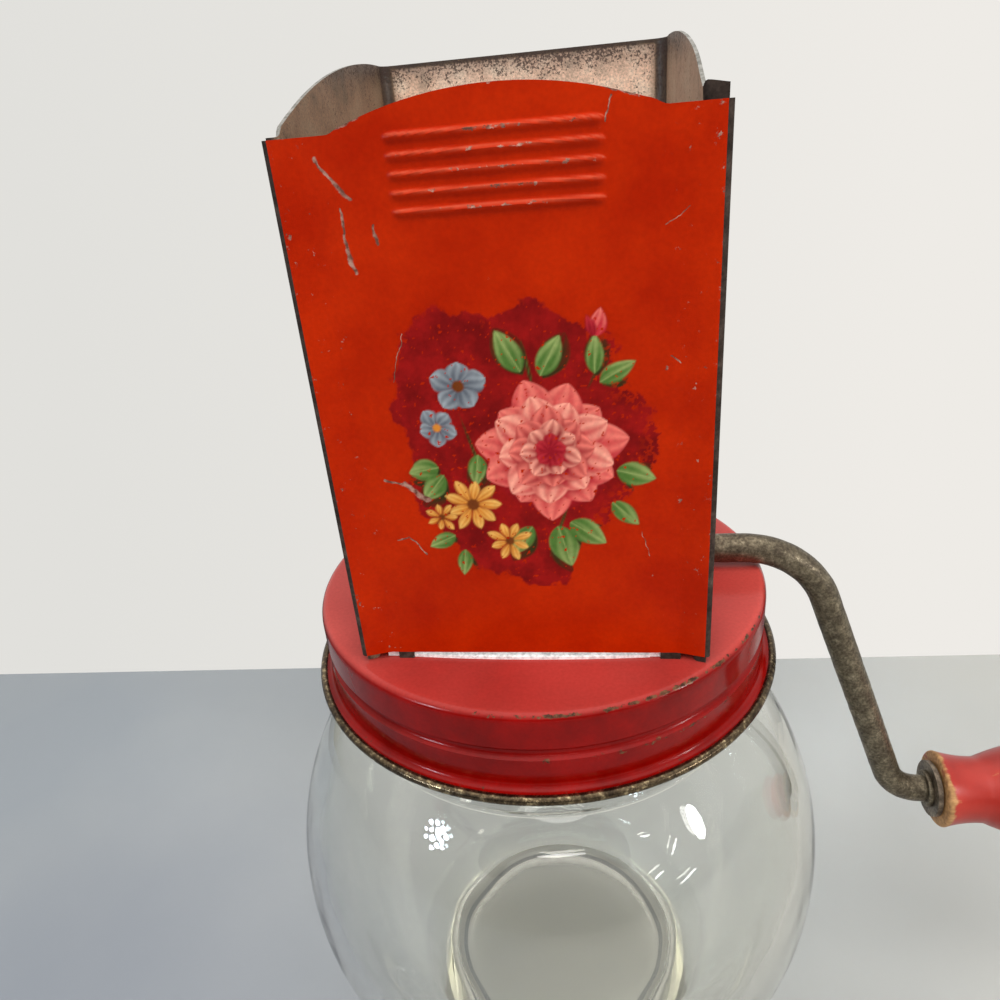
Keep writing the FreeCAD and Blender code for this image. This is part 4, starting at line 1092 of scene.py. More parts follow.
    def raise_thread(self, mesh: BMesh) -> None:
        """Push the neck's outside out along the screw line.

        Args:
            mesh: the jar's mesh.
        """
        for vert in mesh.verts:
            radius = math.hypot(vert.co.x, vert.co.y)
            if radius < self.neck_radius - 0.05 or vert.co.z < self.thread_height - 1.3:
                continue
            turn = (math.atan2(vert.co.y, vert.co.x) % FULL_TURN) / FULL_TURN
            lift = 0.0
            for whole in (0.0, 1.0):
                along = turn + whole
                middle = self.thread_height + self.thread_pitch * along
                ends = min(step(0.0, self.thread_fade, along),
                           1.0 - step(self.thread_turns - self.thread_fade,
                                      self.thread_turns, along))
                across = 1.0 - step(0.3, 1.0, abs(vert.co.z - middle) / self.thread_half)
                lift = max(lift, ends * across * self.thread_rise)
            grow = (radius + lift) / radius
            vert.co.x *= grow
            vert.co.y *= grow


# ------ the lid


@dataclass
class ScrewLid:
    """The tinplate screw lid: disc with its mouth, stepped skirt, thread groove and curl."""

    top: float = 94.9
    tin: float = 0.4
    radius: float = 34.26
    edge_round: float = 1.2
    step_height: float = 88.8
    step_half: float = 0.95
    step_depth: float = 0.7
    curl_radius: float = 35.75
    curl_tube: float = 0.65
    curl_height: float = 82.87
    flare_rise: float = 1.45
    groove_start: float = 85.2
    groove_pitch: float = 4.2
    groove_turns: float = 0.6
    groove_depth: float = 0.55
    groove_half: float = 0.95
    groove_fade: float = 0.06
    mouth_x: float = 18.4
    mouth_y: float = 15.5
    ring: float = 26.0
    segments: int = 256

    def build(self) -> None:
        """Spin the shell and the curl, and dress them."""
        make_piece("lid_shell", self.shell(), Body.LID, [LID_ENAMEL],
                   ["screw_lid"], crease=50.0)
        curl = Outline(self.curl_radius + self.curl_tube, self.curl_height)
        for quarter in (1, 2, 3, 4):
            angle = quarter * math.pi / 2.0
            curl.arc(self.curl_radius + self.curl_tube * math.cos(angle),
                     self.curl_height + self.curl_tube * math.sin(angle),
                     self.curl_tube, Side.LEFT, 5)
        mesh = curl.turned(self.segments)
        make_piece("lid_curled_edge", mesh, Body.LID, [CURL_TIN])

    def shell(self) -> BMesh:
        """Draw the lid without its curl, with a skirt that flares out to meet it.

        Returns:
            The shell's mesh.
        """
        inside = self.radius - self.tin
        turn_in = self.curl_radius - inside
        foot = self.curl_height - self.curl_tube
        notch = self.curl_tube * math.sqrt(0.5)
        flare_top = self.curl_height + self.flare_rise
        reach = self.curl_radius - notch - self.radius
        flare = (reach ** 2 + (self.flare_rise - notch) ** 2) / (2.0 * reach)
        under = self.top - self.tin
        inner_arc = self.edge_round - self.tin
        half = self.step_half
        arc = (half * half + self.step_depth ** 2) / (2.0 * self.step_depth)
        profile = (
            Outline(self.ring, under).line(inside - inner_arc, under, 4)
            .arc(inside, under - inner_arc, inner_arc, Side.RIGHT, 4)
            .line(inside, self.step_height + half, 6)
            .arc(inside, self.step_height - half, arc, Side.LEFT, 8)
            .line(inside, foot + turn_in, 16)
            .arc(self.curl_radius, foot, turn_in, Side.LEFT, 8)
            .line(self.curl_radius - notch, self.curl_height + notch)
            .arc(self.radius, flare_top, flare, Side.RIGHT, 8)
            .line(self.radius, self.step_height - half, 18)
            .arc(self.radius, self.step_height + half, arc, Side.RIGHT, 10)
            .line(self.radius, self.top - self.edge_round, 8)
            .arc(self.radius - self.edge_round, self.top, self.edge_round, Side.LEFT, 7)
            .line(self.ring, self.top, 6)
        )
        mesh = profile.turned(self.segments)
        self.press_groove(mesh)
        rims = [edge for edge in mesh.edges if edge.is_boundary]
        made = bmesh.ops.extrude_edge_only(mesh, edges=rims)["geom"]
        fresh = [item for item in made if isinstance(item, BMVert)]
        for vert in fresh:
            flat = math.hypot(vert.co.x, vert.co.y)
            across, along = abs(vert.co.x) / flat, abs(vert.co.y) / flat
            reach = min(self.mouth_x / max(across, 1e-6), self.mouth_y / max(along, 1e-6))
            vert.co.x *= reach / flat
            vert.co.y *= reach / flat
        rims = [edge for edge in mesh.edges if edge.is_boundary]
        bmesh.ops.bridge_loops(mesh, edges=rims)
        bmesh.ops.recalc_face_normals(mesh, faces=mesh.faces)
        store(mesh, "wear", self.wear)
        # the lid's top is painted paler than its sides: partly fading, partly painted light
        store(mesh, "fade", self.fade)
        return mesh

    def fade(self, place: Vector) -> float:
        """Tell how chalky the enamel is: the top is, most of all beside the hopper. This is
        partly fading and partly painted light, which makes the top paler than the sides.

        Args:
            place: a place of the shell.

        Returns:
            A share of about 0 to 1.
        """
        up = step(self.top - 0.7, self.top - 0.1, place.z)
        cloud = 0.18 * noise.noise(place / 9.0)
        return up * (0.44 + 0.44 * step(16.0, 32.0, abs(place.x)) + cloud)

    def press_groove(self, mesh: BMesh) -> None:
        """Roll the thread's groove into the skirt.

        Args:
            mesh: the shell's mesh.
        """
        low = self.curl_height + self.flare_rise
        for vert in mesh.verts:
            radius = math.hypot(vert.co.x, vert.co.y)
            if radius < self.radius - self.tin - 0.05 or not low < vert.co.z < self.step_height:
                continue
            turn = (math.atan2(vert.co.y, vert.co.x) % FULL_TURN) / FULL_TURN
            middle = self.groove_start + self.groove_pitch * turn
            ends = min(step(0.0, self.groove_fade, turn),
                       1.0 - step(self.groove_turns - self.groove_fade,
                                  self.groove_turns, turn))
            across = 1.0 - step(0.15, 1.0, abs(vert.co.z - middle) / self.groove_half)
            grow = (radius - self.groove_depth * ends * across) / radius
            vert.co.x *= grow
            vert.co.y *= grow

    def wear(self, place: Vector) -> float:
        """Tell how worn the enamel is: on the shoulder, the step's lip and the foot.

        Args:
            place: a place of the shell.

        Returns:
            A share from 0 to 1, higher on the right front.
        """
        radius = math.hypot(place.x, place.y)
        angle = math.degrees(math.atan2(place.y, place.x))
        shoulder = 1.0 - step(0.1, 0.5, math.hypot(radius - self.radius + 0.3,
                                                   place.z - self.top + 0.4))
        side = 1.0 - step(20.0, 62.0, abs(angle + 60.0))
        foot = 1.0 - step(0.5, 1.2, place.z - self.curl_height)
        lip = 1.0 - step(0.2, 0.6, abs(place.z - self.step_height + 1.15))
        return max(shoulder * (0.2 + 0.44 * side), foot * 0.2, lip * (0.1 + 0.26 * side))


# ------ the hopper


@dataclass
class Hopper:
    """Front panel and wrapped sides and back, folded together at the front corners."""

    foot: float = 94.9
    panel_foot: float = 95.9
    panel_split: float = 148.4
    top: float = 167.5
    shoulder: float = 158.2
    peak: float = 161.4
    panel_half: float = 22.6
    face: float = 23.25
    tin: float = 0.4
    wall_half: float = 21.1
    crease_half: float = 18.6
    fold: float = 0.45
    flange: float = 22.6
    flange_half: float = 22.1
    bend: float = 0.35
    corner: float = 1.8
    splay: float = 1.15
    arch_half: float = 14.6
    arch_blend: float = 1.8
    arch_foot: float = 0.7
    side_arc: float = 118.0
    side_centre: tuple[float, float] = (21.3, 49.5)
    off_centre: float = 0.5
    rib_top: float = 157.6
    rib_pitch: float = 1.74
    rib_count: int = 5
    rib_half: float = 10.5
    rib_width: float = 0.22
    rib_stand: float = 0.4
    dent: float = 0.1
    pinch: float = 0.85
    tab_x: float = 17.3
    tab_half: float = 1.1
    tab_length: float = 1.45

    def build(self) -> None:
        """Make the two sheets and dress the combs under them."""
        self.front()
        self.wrap()
        for node in ("comb_front", "comb_rear"):
            dress_node(node, COMB_TIN)

    def crest(self, x: float) -> float:
        """Find the panel's top edge, with its shoulders, hollow blends and arch.

        Args:
            x: a place across the panel.

        Returns:
            The edge's height there.
        """
        rise = self.peak - self.shoulder - self.arch_foot
        radius = (self.arch_half ** 2 + rise * rise) / (2.0 * rise)
        away = abs(x - self.off_centre)
        if away <= self.arch_half:
            return self.peak - radius + math.sqrt(radius * radius - away * away)
        share = step(0.0, 1.0, (away - self.arch_half) / self.arch_blend)
        return self.shoulder + self.arch_foot * (1.0 - share)

    def shift(self, x: float, z: float, share: float = 1.0) -> float:
        """Where a place across the hopper lands, as its front was folded on a little askew."""
        up = step(self.panel_foot - 20.0, self.shoulder + 10.0, z)
        return x + share * (0.6 * (1.0 - up) + 0.5 * up * step(12.0, self.panel_half, x))

    def lean(self, x: float, z: float) -> float:
        """Find how far the panel's edge strips stand forward.

        Args:
            x: a place across the panel.
            z: its height.

        Returns:
            The distance in front of the flat panel.
        """
        out = max(abs(x) - self.crease_half, 0.0) / (self.panel_half - self.crease_half)
        soft = out * out / (out + 0.08) * 1.08
        return self.splay * soft * (self.top - z) / (self.top - self.foot)

    def relief(self, x: float, z: float) -> float:
        """Find how far the panel's ribs and faint dents stand out.

        Args:
            x: a place across the panel.
            z: its height.

        Returns:
            The distance in front of the flat panel.
        """
        rise = 0.0
        for count in range(self.rib_count):
            gap = z - self.rib_top + count * self.rib_pitch
            wide = self.rib_width * (1.0 if gap > 0.0 else 2.1)
            if abs(gap) < wide * 2.0:
                ends = 1.0 - step(self.rib_half - 0.5, self.rib_half + 0.1,
                                  abs(x - self.off_centre))
                rise = max(rise, ends * self.rib_stand * math.exp(-((gap / wide) ** 2)))
        fade = 1.0 - step(17.0, 21.0, abs(x))
        wave = noise.noise(Vector((x / 15.0, 3.7, z / 17.0)))
        return rise + self.dent * wave * fade

    def front(self) -> None:
        """The panel: one sheet folded back at both sides, with two tabs at its foot."""
        mid = self.face - self.tin / 2.0
        edge = self.panel_half - self.tin / 2.0 - self.fold
        hem = mid - 2.0 * self.fold
        hem_end = self.wall_half + 0.3
        half_turn = self.fold + 1e-6
        profile = (
            Outline(-hem_end, hem).line(-edge, hem, 2)
            .arc(-edge, mid, half_turn, Side.RIGHT, 8).line(-self.crease_half, mid, 7)
            .line(self.crease_half, mid, 92).line(edge, mid, 7)
            .arc(edge, hem, half_turn, Side.RIGHT, 8).line(hem_end, hem, 2)
        )
        split = self.panel_split
        levels = [float(level) for level in np.linspace(self.panel_foot, split, 76)]
        levels += [float(level) for level in np.linspace(split, self.peak, 78)][1:]
        mesh = profile.raised(levels)
        feet = [side for side in mesh.edges if all(self.at_tab(vert.co) for vert in side.verts)]
        # the folds take the nearly black fold tin: browned bare tin, with painted shade on the
        # folded edges
        for face in mesh.faces:
            if abs(face.calc_center_median().x) > edge:
                face.material_index = 2
        for vert in mesh.verts:
            x, z = vert.co.x, vert.co.z
            if z > split:
                z = split + (z - split) * (self.crest(x) - split) / (self.peak - split)
            rise = self.relief(x, z) if self.in_front(vert.co) else 0.0
            vert.co = (self.shift(x, z), vert.co.y - self.lean(x, z) - rise, z)
        made = bmesh.ops.extrude_edge_only(mesh, edges=feet)["geom"]
        low = [item for item in made if isinstance(item, BMVert)]
        bmesh.ops.translate(mesh, verts=low, vec=(0.0, 0.0, -self.tab_length))
        for item in made:
            if isinstance(item, BMFace):
                item.material_index = 2
        face_way(mesh, FORWARD)
        store(mesh, "wear", self.panel_wear)
        # a painted highlight: a pale line along the rib crests, carried in the fade attribute
        store(mesh, "fade", self.rib_crest_painted_highlight)
        make_piece("hopper_front_panel", mesh, Body.LID,
                   [PANEL_ENAMEL, HOPPER_TIN, FOLD_TIN_AND_SHADE, FOLD_TIN_AND_SHADE],
                   ["hopper_front"], sheet=self.tin)

    def in_front(self, place: Vector) -> bool:
        """Tell whether a place of the folded sheet is on the panel and not on its hems."""
        return place.y < -self.face + 0.5

    def at_tab(self, place: Vector) -> bool:
        """Tell whether a place of the folded sheet is where a tab leaves its foot."""
        away = abs(abs(place.x - self.off_centre) - self.tab_x)
        return (abs(place.z - self.panel_foot) < 1e-4 and away < self.tab_half + 0.25
                and self.in_front(place))

    def rib_crest_painted_highlight(self, place: Vector) -> float:
        """Tell where a painted highlight lies: a pale line along the crests of the ribs.

        Args:
            place: a place of the panel.

        Returns:
            A share from 0 to 1.
        """
        x = place.x - self.shift(0.0, place.z)
        if abs(x - self.off_centre) > self.rib_half:
            return 0.0
        gaps = [abs(place.z - 0.08 - self.rib_top + count * self.rib_pitch)
                for count in range(self.rib_count)]
        return 0.34 * (1.0 - step(0.0, 0.15, min(gaps)))

    def panel_wear(self, place: Vector) -> float:
        """Tell how worn the panel is, on its folds, top edge and ribs.

        Args:
            place: a place of the panel.

        Returns:
            A share from 0 to 1.
        """
        place = place - Vector((self.shift(0.0, place.z), 0.0, 0.0))
        edge = 0.26 * step(21.5, 21.95, abs(place.x))
        drop = self.crest(place.x) - place.z
        # the top edge is chipped most where the arch starts and ends
        chips = max(1.0 - step(0.6, 2.2, abs(place.x + 13.7)),
                    1.0 - step(0.6, 2.4, abs(place.x - 12.6)))
        top = (0.25 + 0.65 * chips) * (1.0 - step(0.0, 0.5, drop))
        ribs = 0.0
        if abs(place.x - self.off_centre) < self.rib_half:
            for count in range(self.rib_count):
                gap = abs(place.z - self.rib_top + count * self.rib_pitch)
                middle = 0.2 * (1.0 - step(2.0, 7.0, abs(place.x - self.off_centre)))
                ribs = max(ribs, (0.3 + middle) * (1.0 - step(0.04, 0.24, gap)))
        sides = 0.2 * step(13.0, 19.0, abs(place.x))
        return max(edge, top, ribs, sides)

    def wall_crest(self, y: float) -> float:
        """Find the wrap's top edge: level at the back, an arc along each side.

        Args:
            y: a place along the side.

        Returns:
            The edge's height there.
        """
        centre_y, centre_z = self.side_centre
        if y >= centre_y:
            return self.top
        return centre_z + math.sqrt(self.side_arc ** 2 - (y - centre_y) ** 2)

    def wrap(self) -> None:
        """Sides and back in one sheet, with a seam flange at each front end."""
        mid = self.wall_half - self.tin / 2.0
        back = -(self.face - self.tin / 2.0)
        flange, bend, corner = self.flange, self.bend, self.corner
        profile = (
            Outline(-self.flange_half, flange).line(-mid - bend, flange, 3)
            .arc(-mid, flange - bend, bend, Side.RIGHT, 3)
            .line(-mid, back + corner, 88).arc(-mid + corner, back, corner, Side.LEFT, 8)
            .line(mid - corner, back, 38).arc(mid, back + corner, corner, Side.LEFT, 8)
            .line(mid, flange - bend, 88).arc(mid + bend, flange, bend, Side.RIGHT, 3)
            .line(self.flange_half, flange, 3)
        )
        levels = [float(level) for level in np.linspace(self.foot, self.top - 1.2, 59)]
        mesh = profile.raised([*levels, self.top - 0.7, self.top - 0.35, self.top])
        for vert in mesh.verts:
            vert.co = self.bent(vert.co.x, vert.co.y, vert.co.z)
        mesh.normal_update()
        rear = max(mesh.faces, key=lambda face: face.calc_center_median().y)
        if rear.normal.y < 0.0:
            bmesh.ops.reverse_faces(mesh, faces=mesh.faces)
        # the seam flanges and the right wall's front end take the nearly black fold tin, as
        # painted shade
        for face in mesh.faces:
            middle = face.calc_center_median()
            seam = abs(middle.x) > self.wall_half + 0.4
            if seam or (middle.y < -21.8 and middle.x > 0.0):
                face.material_index = 3
        store(mesh, "wear", self.wrap_wear)
        # real pits, and darkening that is partly painted shade in bends, on flanges and under
        # the top edge
        store(mesh, "stain", self.wrap_stain_and_shade)
        # painted shade on the side walls and in the bends, and a darker band along the back's
        # top edge
        store(mesh, "wall_shade", self.wrap_wall_shade)
        # the cut edges take a light grey: bare tin with a painted highlight along the rim
        make_piece("hopper_sides_and_back", mesh, Body.LID,
                   [SHELL_ENAMEL, HOPPER_TIN, RIM_TIN_HIGHLIGHT, FOLD_TIN_AND_SHADE, FOLD_TIN_AND_SHADE, FOLD_TIN_AND_SHADE],
                   ["hopper_wrap"], sheet=self.tin)

    def bent(self, x: float, y: float, z: float) -> Place:
        """Find where a point of the straight wrap lands when its top and bends are made.

        Args:
            x: the point's place across.
            y: its place along the side.
            z: its height.

        Returns:
            The point's new place.
        """
        share = (z - self.foot) / (self.top - self.foot)
        z = self.foot + share * (self.wall_crest(y) - self.foot)
        # the flanges' tops: an ear at the right, a little cut back at the left
        ear = share ** 4 * step(-22.0, -22.6, y)
        z += ear * (0.85 - 0.35 * step(21.0, 22.1, x) if x > 0.0 else -0.6)
        # the right wall is pinched in towards its front corner
        pinch = share ** 4 * step(-8.0, -21.8, y) * (1.0 - step(21.0, 22.0, x))
        x -= self.pinch * pinch if x > 0.0 else 0.0
        x = self.shift(x, z, step(-8.0, -21.0, y))
        near = 1.0 - step(-21.5, -14.0, y)
        # soft waves of old tin in the middle of the walls
        wave = noise.noise(Vector((x / 14.0, y / 16.0, z / 19.0)))
        side = step(19.5, 20.9, abs(x)) * (1.0 - step(14.0, 20.0, abs(y)))
        return (x + 0.18 * wave * side, y - near * self.lean(x, z), z)

    def wrap_wear(self, place: Vector) -> float:
        """Tell how worn the shell is, along its top edge, corners and foot.

        Args:
            place: a place of the shell.

        Returns:
            A share from 0 to 1.
        """
        top = 0.8 * (1.0 - step(0.0, 1.2, self.wall_crest(place.y) - place.z))
        corner = 0.44 * step(19.6, 20.6, abs(place.x)) * step(21.6, 22.6, abs(place.y))
        foot = 0.5 * (1.0 - step(0.0, 1.5, place.z - self.foot))
        return max(top, corner, foot, 0.12)

    def wrap_stain_and_shade(self, place: Vector) -> float:
        """Tell how stained the tin is, in its bends, on its flanges and under its top edge; pits
        crowd there, and the darkening it brings is partly painted shade.

        Args:
            place: a place of the shell.

        Returns:
            A share from 0 to 1.
        """
        bend = step(18.6, 20.0, abs(place.x)) * step(20.4, 21.8, place.y)
        flange = step(20.95, 21.4, abs(place.x))
        under = 1.0 - step(0.3, 4.6, self.top - place.z)
        return max(0.5 * bend, flange, under)

    def wrap_wall_shade(self, place: Vector) -> float:
        """Tell how far the tin is darkened to olive-grey: painted shade on the side walls, the
        left more than the right, and in the bends, and a darker band along the back's top edge.

        Args:
            place: a place of the shell.

        Returns:
            A share from 0 to 1.
        """
        bend = step(18.8, 19.6, abs(place.x)) * step(20.6, 21.6, place.y)
        side = step(19.5, 20.5, abs(place.x)) * (0.64 if place.x < 0.0 else 0.48)
        edge = 0.9 * (1.0 - step(0.3, 0.8, self.top - place.z)) * step(20.6, 21.6, place.y)
        return max(side, bend, edge)


# ------ the flower transfer


class Tint(Enum):
    """Printing inks of the flower transfer, as sRGB hex."""

    CRIMSON = "8E1210"
    DEEP_CRIMSON = "6E0C0C"
    PINK = "E27466"
    PALE_PINK = "EE9E88"
    ROSE = "B62C34"
    DARK_ROSE = "8A1420"
    BLUE = "5A5E66"
    PALE_BLUE = "949A9E"
    YELLOW = "C4792C"
    PALE_YELLOW = "E0B05E"
    BROWN = "6A3414"
    GREEN = "4A6A2E"
    PALE_GREEN = "8E9C5C"
    DARK_GREEN = "302A12"


@dataclass
class FlowerTransfer:
    """A printed spray of garden flowers on a ragged crimson patch."""

    hopper: Hopper
    centre: tuple[float, float] = (0.5, 124.9)
    reach: tuple[float, float] = (15.0, 17.8)
    margin: float = 1.0
    cell: float = 0.14
    lift: float = 0.012
    x: np.ndarray = field(default_factory=lambda: np.zeros(0))
    z: np.ndarray = field(default_factory=lambda: np.zeros(0))
    ink: np.ndarray = field(default_factory=lambda: np.zeros((0, 3)))
    cover: np.ndarray = field(default_factory=lambda: np.zeros(0))

    def build(self) -> None:
        """Print the spray on a fine sheet that follows the panel, and trim it."""
        mesh = bmesh.new()
        width, height = (half + self.margin for half in self.reach)
        bmesh.ops.create_grid(mesh, x_segments=round(2.0 * width / self.cell),
                              y_segments=round(2.0 * height / self.cell), size=1.0)
        places = [(self.centre[0] + vert.co.x * width, self.centre[1] + vert.co.y * height)
                  for vert in mesh.verts]
        self.x = np.array([place[0] for place in places])
        self.z = np.array([place[1] for place in places])
        self.ink = np.tile(np.array(linear(Tint.CRIMSON.value)[:3]), (len(places), 1))
        self.patch()
        self.leaves()
        self.flowers()
        self.age()
        layer = mesh.verts.layers.float_color.new("transfer")
        for vert, x, z, ink, cover in zip(mesh.verts, self.x, self.z, self.ink, self.cover):
            front = self.hopper.face + self.hopper.relief(x, z) + self.lift
            vert.co = (self.hopper.shift(x, z), -front, z)
            vert[layer] = (*ink, cover)
        bare = [face for face in mesh.faces
                if all(vert[layer][3] < 0.02 for vert in face.verts)]
        bmesh.ops.delete(mesh, geom=bare, context="FACES")
        face_way(mesh, FORWARD)
        make_piece("flower_transfer", mesh, Body.LID, [TRANSFER_ENAMEL])

    def rough(self, size: float, seed: float) -> np.ndarray:
        """Noise from -1 to 1 at every point of the sheet, with features of a size."""
        return np.array([noise.fractal(Vector((x / size, seed, z / size)), 0.8, 2.2, 4)
                         for x, z in zip(self.x, self.z)])

    def lay(self, tint: Tint, share: np.ndarray) -> None:
        """Print one ink with a share from 0 to 1 at every point."""
        share = np.clip(share, 0.0, 1.0)[:, None]
        self.ink = self.ink * (1.0 - share) + np.array(linear(tint.value)[:3]) * share

    def patch(self) -> None:
        """Print the crimson ground: a lobed, ragged outline with darker clouds."""
        across = (self.x - self.centre[0]) / self.reach[0]
        up = (self.z - self.centre[1]) / self.reach[1]
        angle = np.arctan2(up, across)
        edge = (0.95 + 0.07 * np.sin(3.0 * angle + 0.6) + 0.06 * np.sin(5.0 * angle + 2.2)
                + 0.035 * np.sin(9.0 * angle + 1.0))
        ragged = self.rough(2.2, 1.5)
        gap = edge + 0.07 * ragged - np.hypot(across, up)
        self.cover = np.clip(gap * 45.0, 0.0, 1.0)
        crumble = np.clip(1.0 - gap / 0.16, 0.0, 1.0) * (across > 0.55)
        self.cover *= 1.0 - crumble * (self.rough(0.7, 8.0) > 0.05)
        self.lay(Tint.DEEP_CRIMSON, 0.5 + self.rough(3.5, 4.0))

    def blade(self, x: float, z: float, degrees: float, length: float, width: float,
              start: Tint, end: Tint, vein: float = 0.0, full: float = 0.5,
              shade: bool = False) -> None:
        """Print one leaf or petal.

        Args:
            x: place of its foot.
            z: height of its foot.
            degrees: its direction, anticlockwise from +X.
            length: its length.
            width: its half width.
            start: ink at the foot.
            end: ink at the tip.
            vein: how strong its midrib is.
            full: where along it is widest, as a share.
            shade: whether it is only a shadow, which stays on the patch.
        """
        angle = math.radians(degrees)
        dx, dz = self.x - x, self.z - z
        along = (dx * math.cos(angle) + dz * math.sin(angle)) / length
        across = -dx * math.sin(angle) + dz * math.cos(angle)
        inside = np.clip(along, 1e-4, 1.0 - 1e-4)
        power = math.log(0.5) / math.log(full)
        girth = width * np.sin(math.pi * inside ** power) ** 0.75
        near = np.clip((girth - np.abs(across)) / 0.3, 0.0, 1.0)
        near *= (along > 0.0) & (along < 1.0)
        self.lay(start, near)
        if not shade:
            self.cover = np.maximum(self.cover, near)
        side = np.clip(across / np.maximum(girth, 1e-3), -1.0, 1.0)
        stroke = 0.22 * np.sin(9.0 * side + 5.0 * inside + degrees)
        light = 0.95 * inside ** 1.3 + 0.3 * side * math.cos(angle) + stroke - 0.12
        self.lay(end, near * np.clip(light, 0.0, 1.0))
        if vein:
            line = np.clip(1.0 - np.abs(across) / 0.16, 0.0, 1.0) * near * (inside < 0.9)
            self.lay(Tint.PALE_GREEN, line * vein)

    def leaves(self) -> None:
        """Print stems, and leaves that each lie over a dark shadow."""
        # foot's place and height, direction in degrees, length
        stems = ((-6.0, 129.5, 285.0, 12.0), (6.5, 119.0, 250.0, 9.5), (3.0, 130.0, 100.0, 7.5),
                 (-5.0, 117.5, 60.0, 8.0), (8.5, 131.0, 62.0, 6.0))
        for x, z, degrees, length in stems:
            self.blade(x, z, degrees, length, 0.3, Tint.DARK_GREEN, Tint.GREEN)
        # the same, and half width
        leaves = (
            (1.5, 133.5, 118.0, 5.4, 1.5), (3.6, 133.0, 62.0, 5.0, 1.4),
            (9.5, 133.0, 88.0, 4.4, 1.1), (10.0, 132.0, 30.0, 4.6, 1.2),
            (11.6, 121.5, 345.0, 4.6, 1.6), (11.0, 117.5, 315.0, 4.4, 1.3),
            (4.5, 114.5, 285.0, 5.8, 1.9), (6.0, 115.0, 325.0, 5.2, 1.7),
            (1.5, 114.5, 235.0, 4.6, 1.3), (-8.0, 113.5, 205.0, 3.8, 1.2),
            (-7.0, 111.5, 262.0, 3.8, 1.1), (-9.0, 122.5, 190.0, 3.8, 1.5),
            (-8.5, 121.5, 230.0, 4.2, 1.4), (-4.2, 124.0, 262.0, 4.0, 1.2),
        )
        for x, z, degrees, length, width in leaves:
            self.blade(x + 0.25, z - 0.35, degrees, length + 0.7, width + 0.4,
                       Tint.DARK_GREEN, Tint.DEEP_CRIMSON, shade=True)
            self.blade(x, z, degrees, length, width, Tint.GREEN, Tint.PALE_GREEN, vein=0.7,
                       full=0.42)

    def flower(self, x: float, z: float, petals: int, length: float, width: float,
               start: Tint, end: Tint, heart: Tint, core: float, turn: float = 0.0) -> None:
        """Print a ring of petals round a small heart.

        Args:
            x: place of the heart.
            z: height of the heart.
            petals: how many petals it has.
            length: their length.
            width: their half width.
            start: ink at their feet.
            end: ink at their tips.
            heart: ink of the heart.
            core: radius of the heart.
            turn: direction of the first petal in degrees.
        """
        for count in range(petals):
            degrees = turn + 360.0 * count / petals + 5.0 * math.sin(3.1 * count)
            long_ = length * (1.0 + 0.1 * math.sin(2.3 * count + turn))
            self.blade(x, z, degrees, long_, width, start, end, full=0.62)
        near = np.clip((core - np.hypot(self.x - x, self.z - z)) / 0.25, 0.0, 1.0)
        self.lay(heart, near)

    def flowers(self) -> None:
        """Print two blue flowers, three yellow ones, a bud and a full pink bloom."""
        self.flower(-5.6, 132.2, 5, 3.1, 1.45, Tint.BLUE, Tint.PALE_BLUE, Tint.BROWN, 0.8, 15.0)
        self.flower(-8.6, 127.4, 5, 2.3, 1.1, Tint.BLUE, Tint.PALE_BLUE, Tint.YELLOW, 0.6, 50.0)
        self.flower(-5.4, 117.6, 9, 3.5, 0.75, Tint.YELLOW, Tint.PALE_YELLOW, Tint.BROWN, 0.85)
        self.flower(-1.4, 112.6, 8, 2.7, 0.62, Tint.YELLOW, Tint.PALE_YELLOW, Tint.BROWN, 0.65,
                    20.0)
        self.flower(-9.4, 116.0, 7, 2.0, 0.5, Tint.YELLOW, Tint.PALE_YELLOW, Tint.BROWN, 0.5)
        self.blade(9.8, 137.0, 80.0, 3.2, 1.1, Tint.ROSE, Tint.PINK, full=0.4)
        self.blade(9.6, 137.0, 108.0, 2.6, 0.7, Tint.DARK_ROSE, Tint.ROSE, full=0.4)
        # the bloom, from its outer ring in: petals, length, half width, inks, direction
        x, z = 4.2, 124.2
        rings = ((11, 8.2, 2.5, Tint.ROSE, Tint.PINK, 8.0),
                 (9, 6.7, 2.3, Tint.ROSE, Tint.PALE_PINK, 27.0),
                 (8, 5.0, 2.0, Tint.DARK_ROSE, Tint.PINK, 3.0),
                 (7, 3.5, 1.5, Tint.DARK_ROSE, Tint.PALE_PINK, 31.0),
                 (5, 2.0, 1.0, Tint.DARK_ROSE, Tint.ROSE, 12.0))
        for petals, length, width, start, end, turn in rings:
            below = np.hypot(self.x - x, self.z - z + 0.35) / (length * 0.93)
            self.lay(Tint.DARK_ROSE, 0.75 * np.clip((1.0 - below) * 6.0, 0.0, 1.0))
            self.flower(x, z, petals, length, width, start, end, start, 0.5, turn)

    def age(self) -> None:
        """Wear the print: flecks missing, and a slight grain in the inks."""
        self.cover *= self.rough(0.55, 11.0) < 0.62
        grain = 1.0 + 0.12 * self.rough(0.5, 6.0) + 0.1 * self.rough(2.5, 2.0)
        self.ink = np.clip(self.ink * grain[:, None], 0.0, 1.0)


# ------ crank, rotor and knob


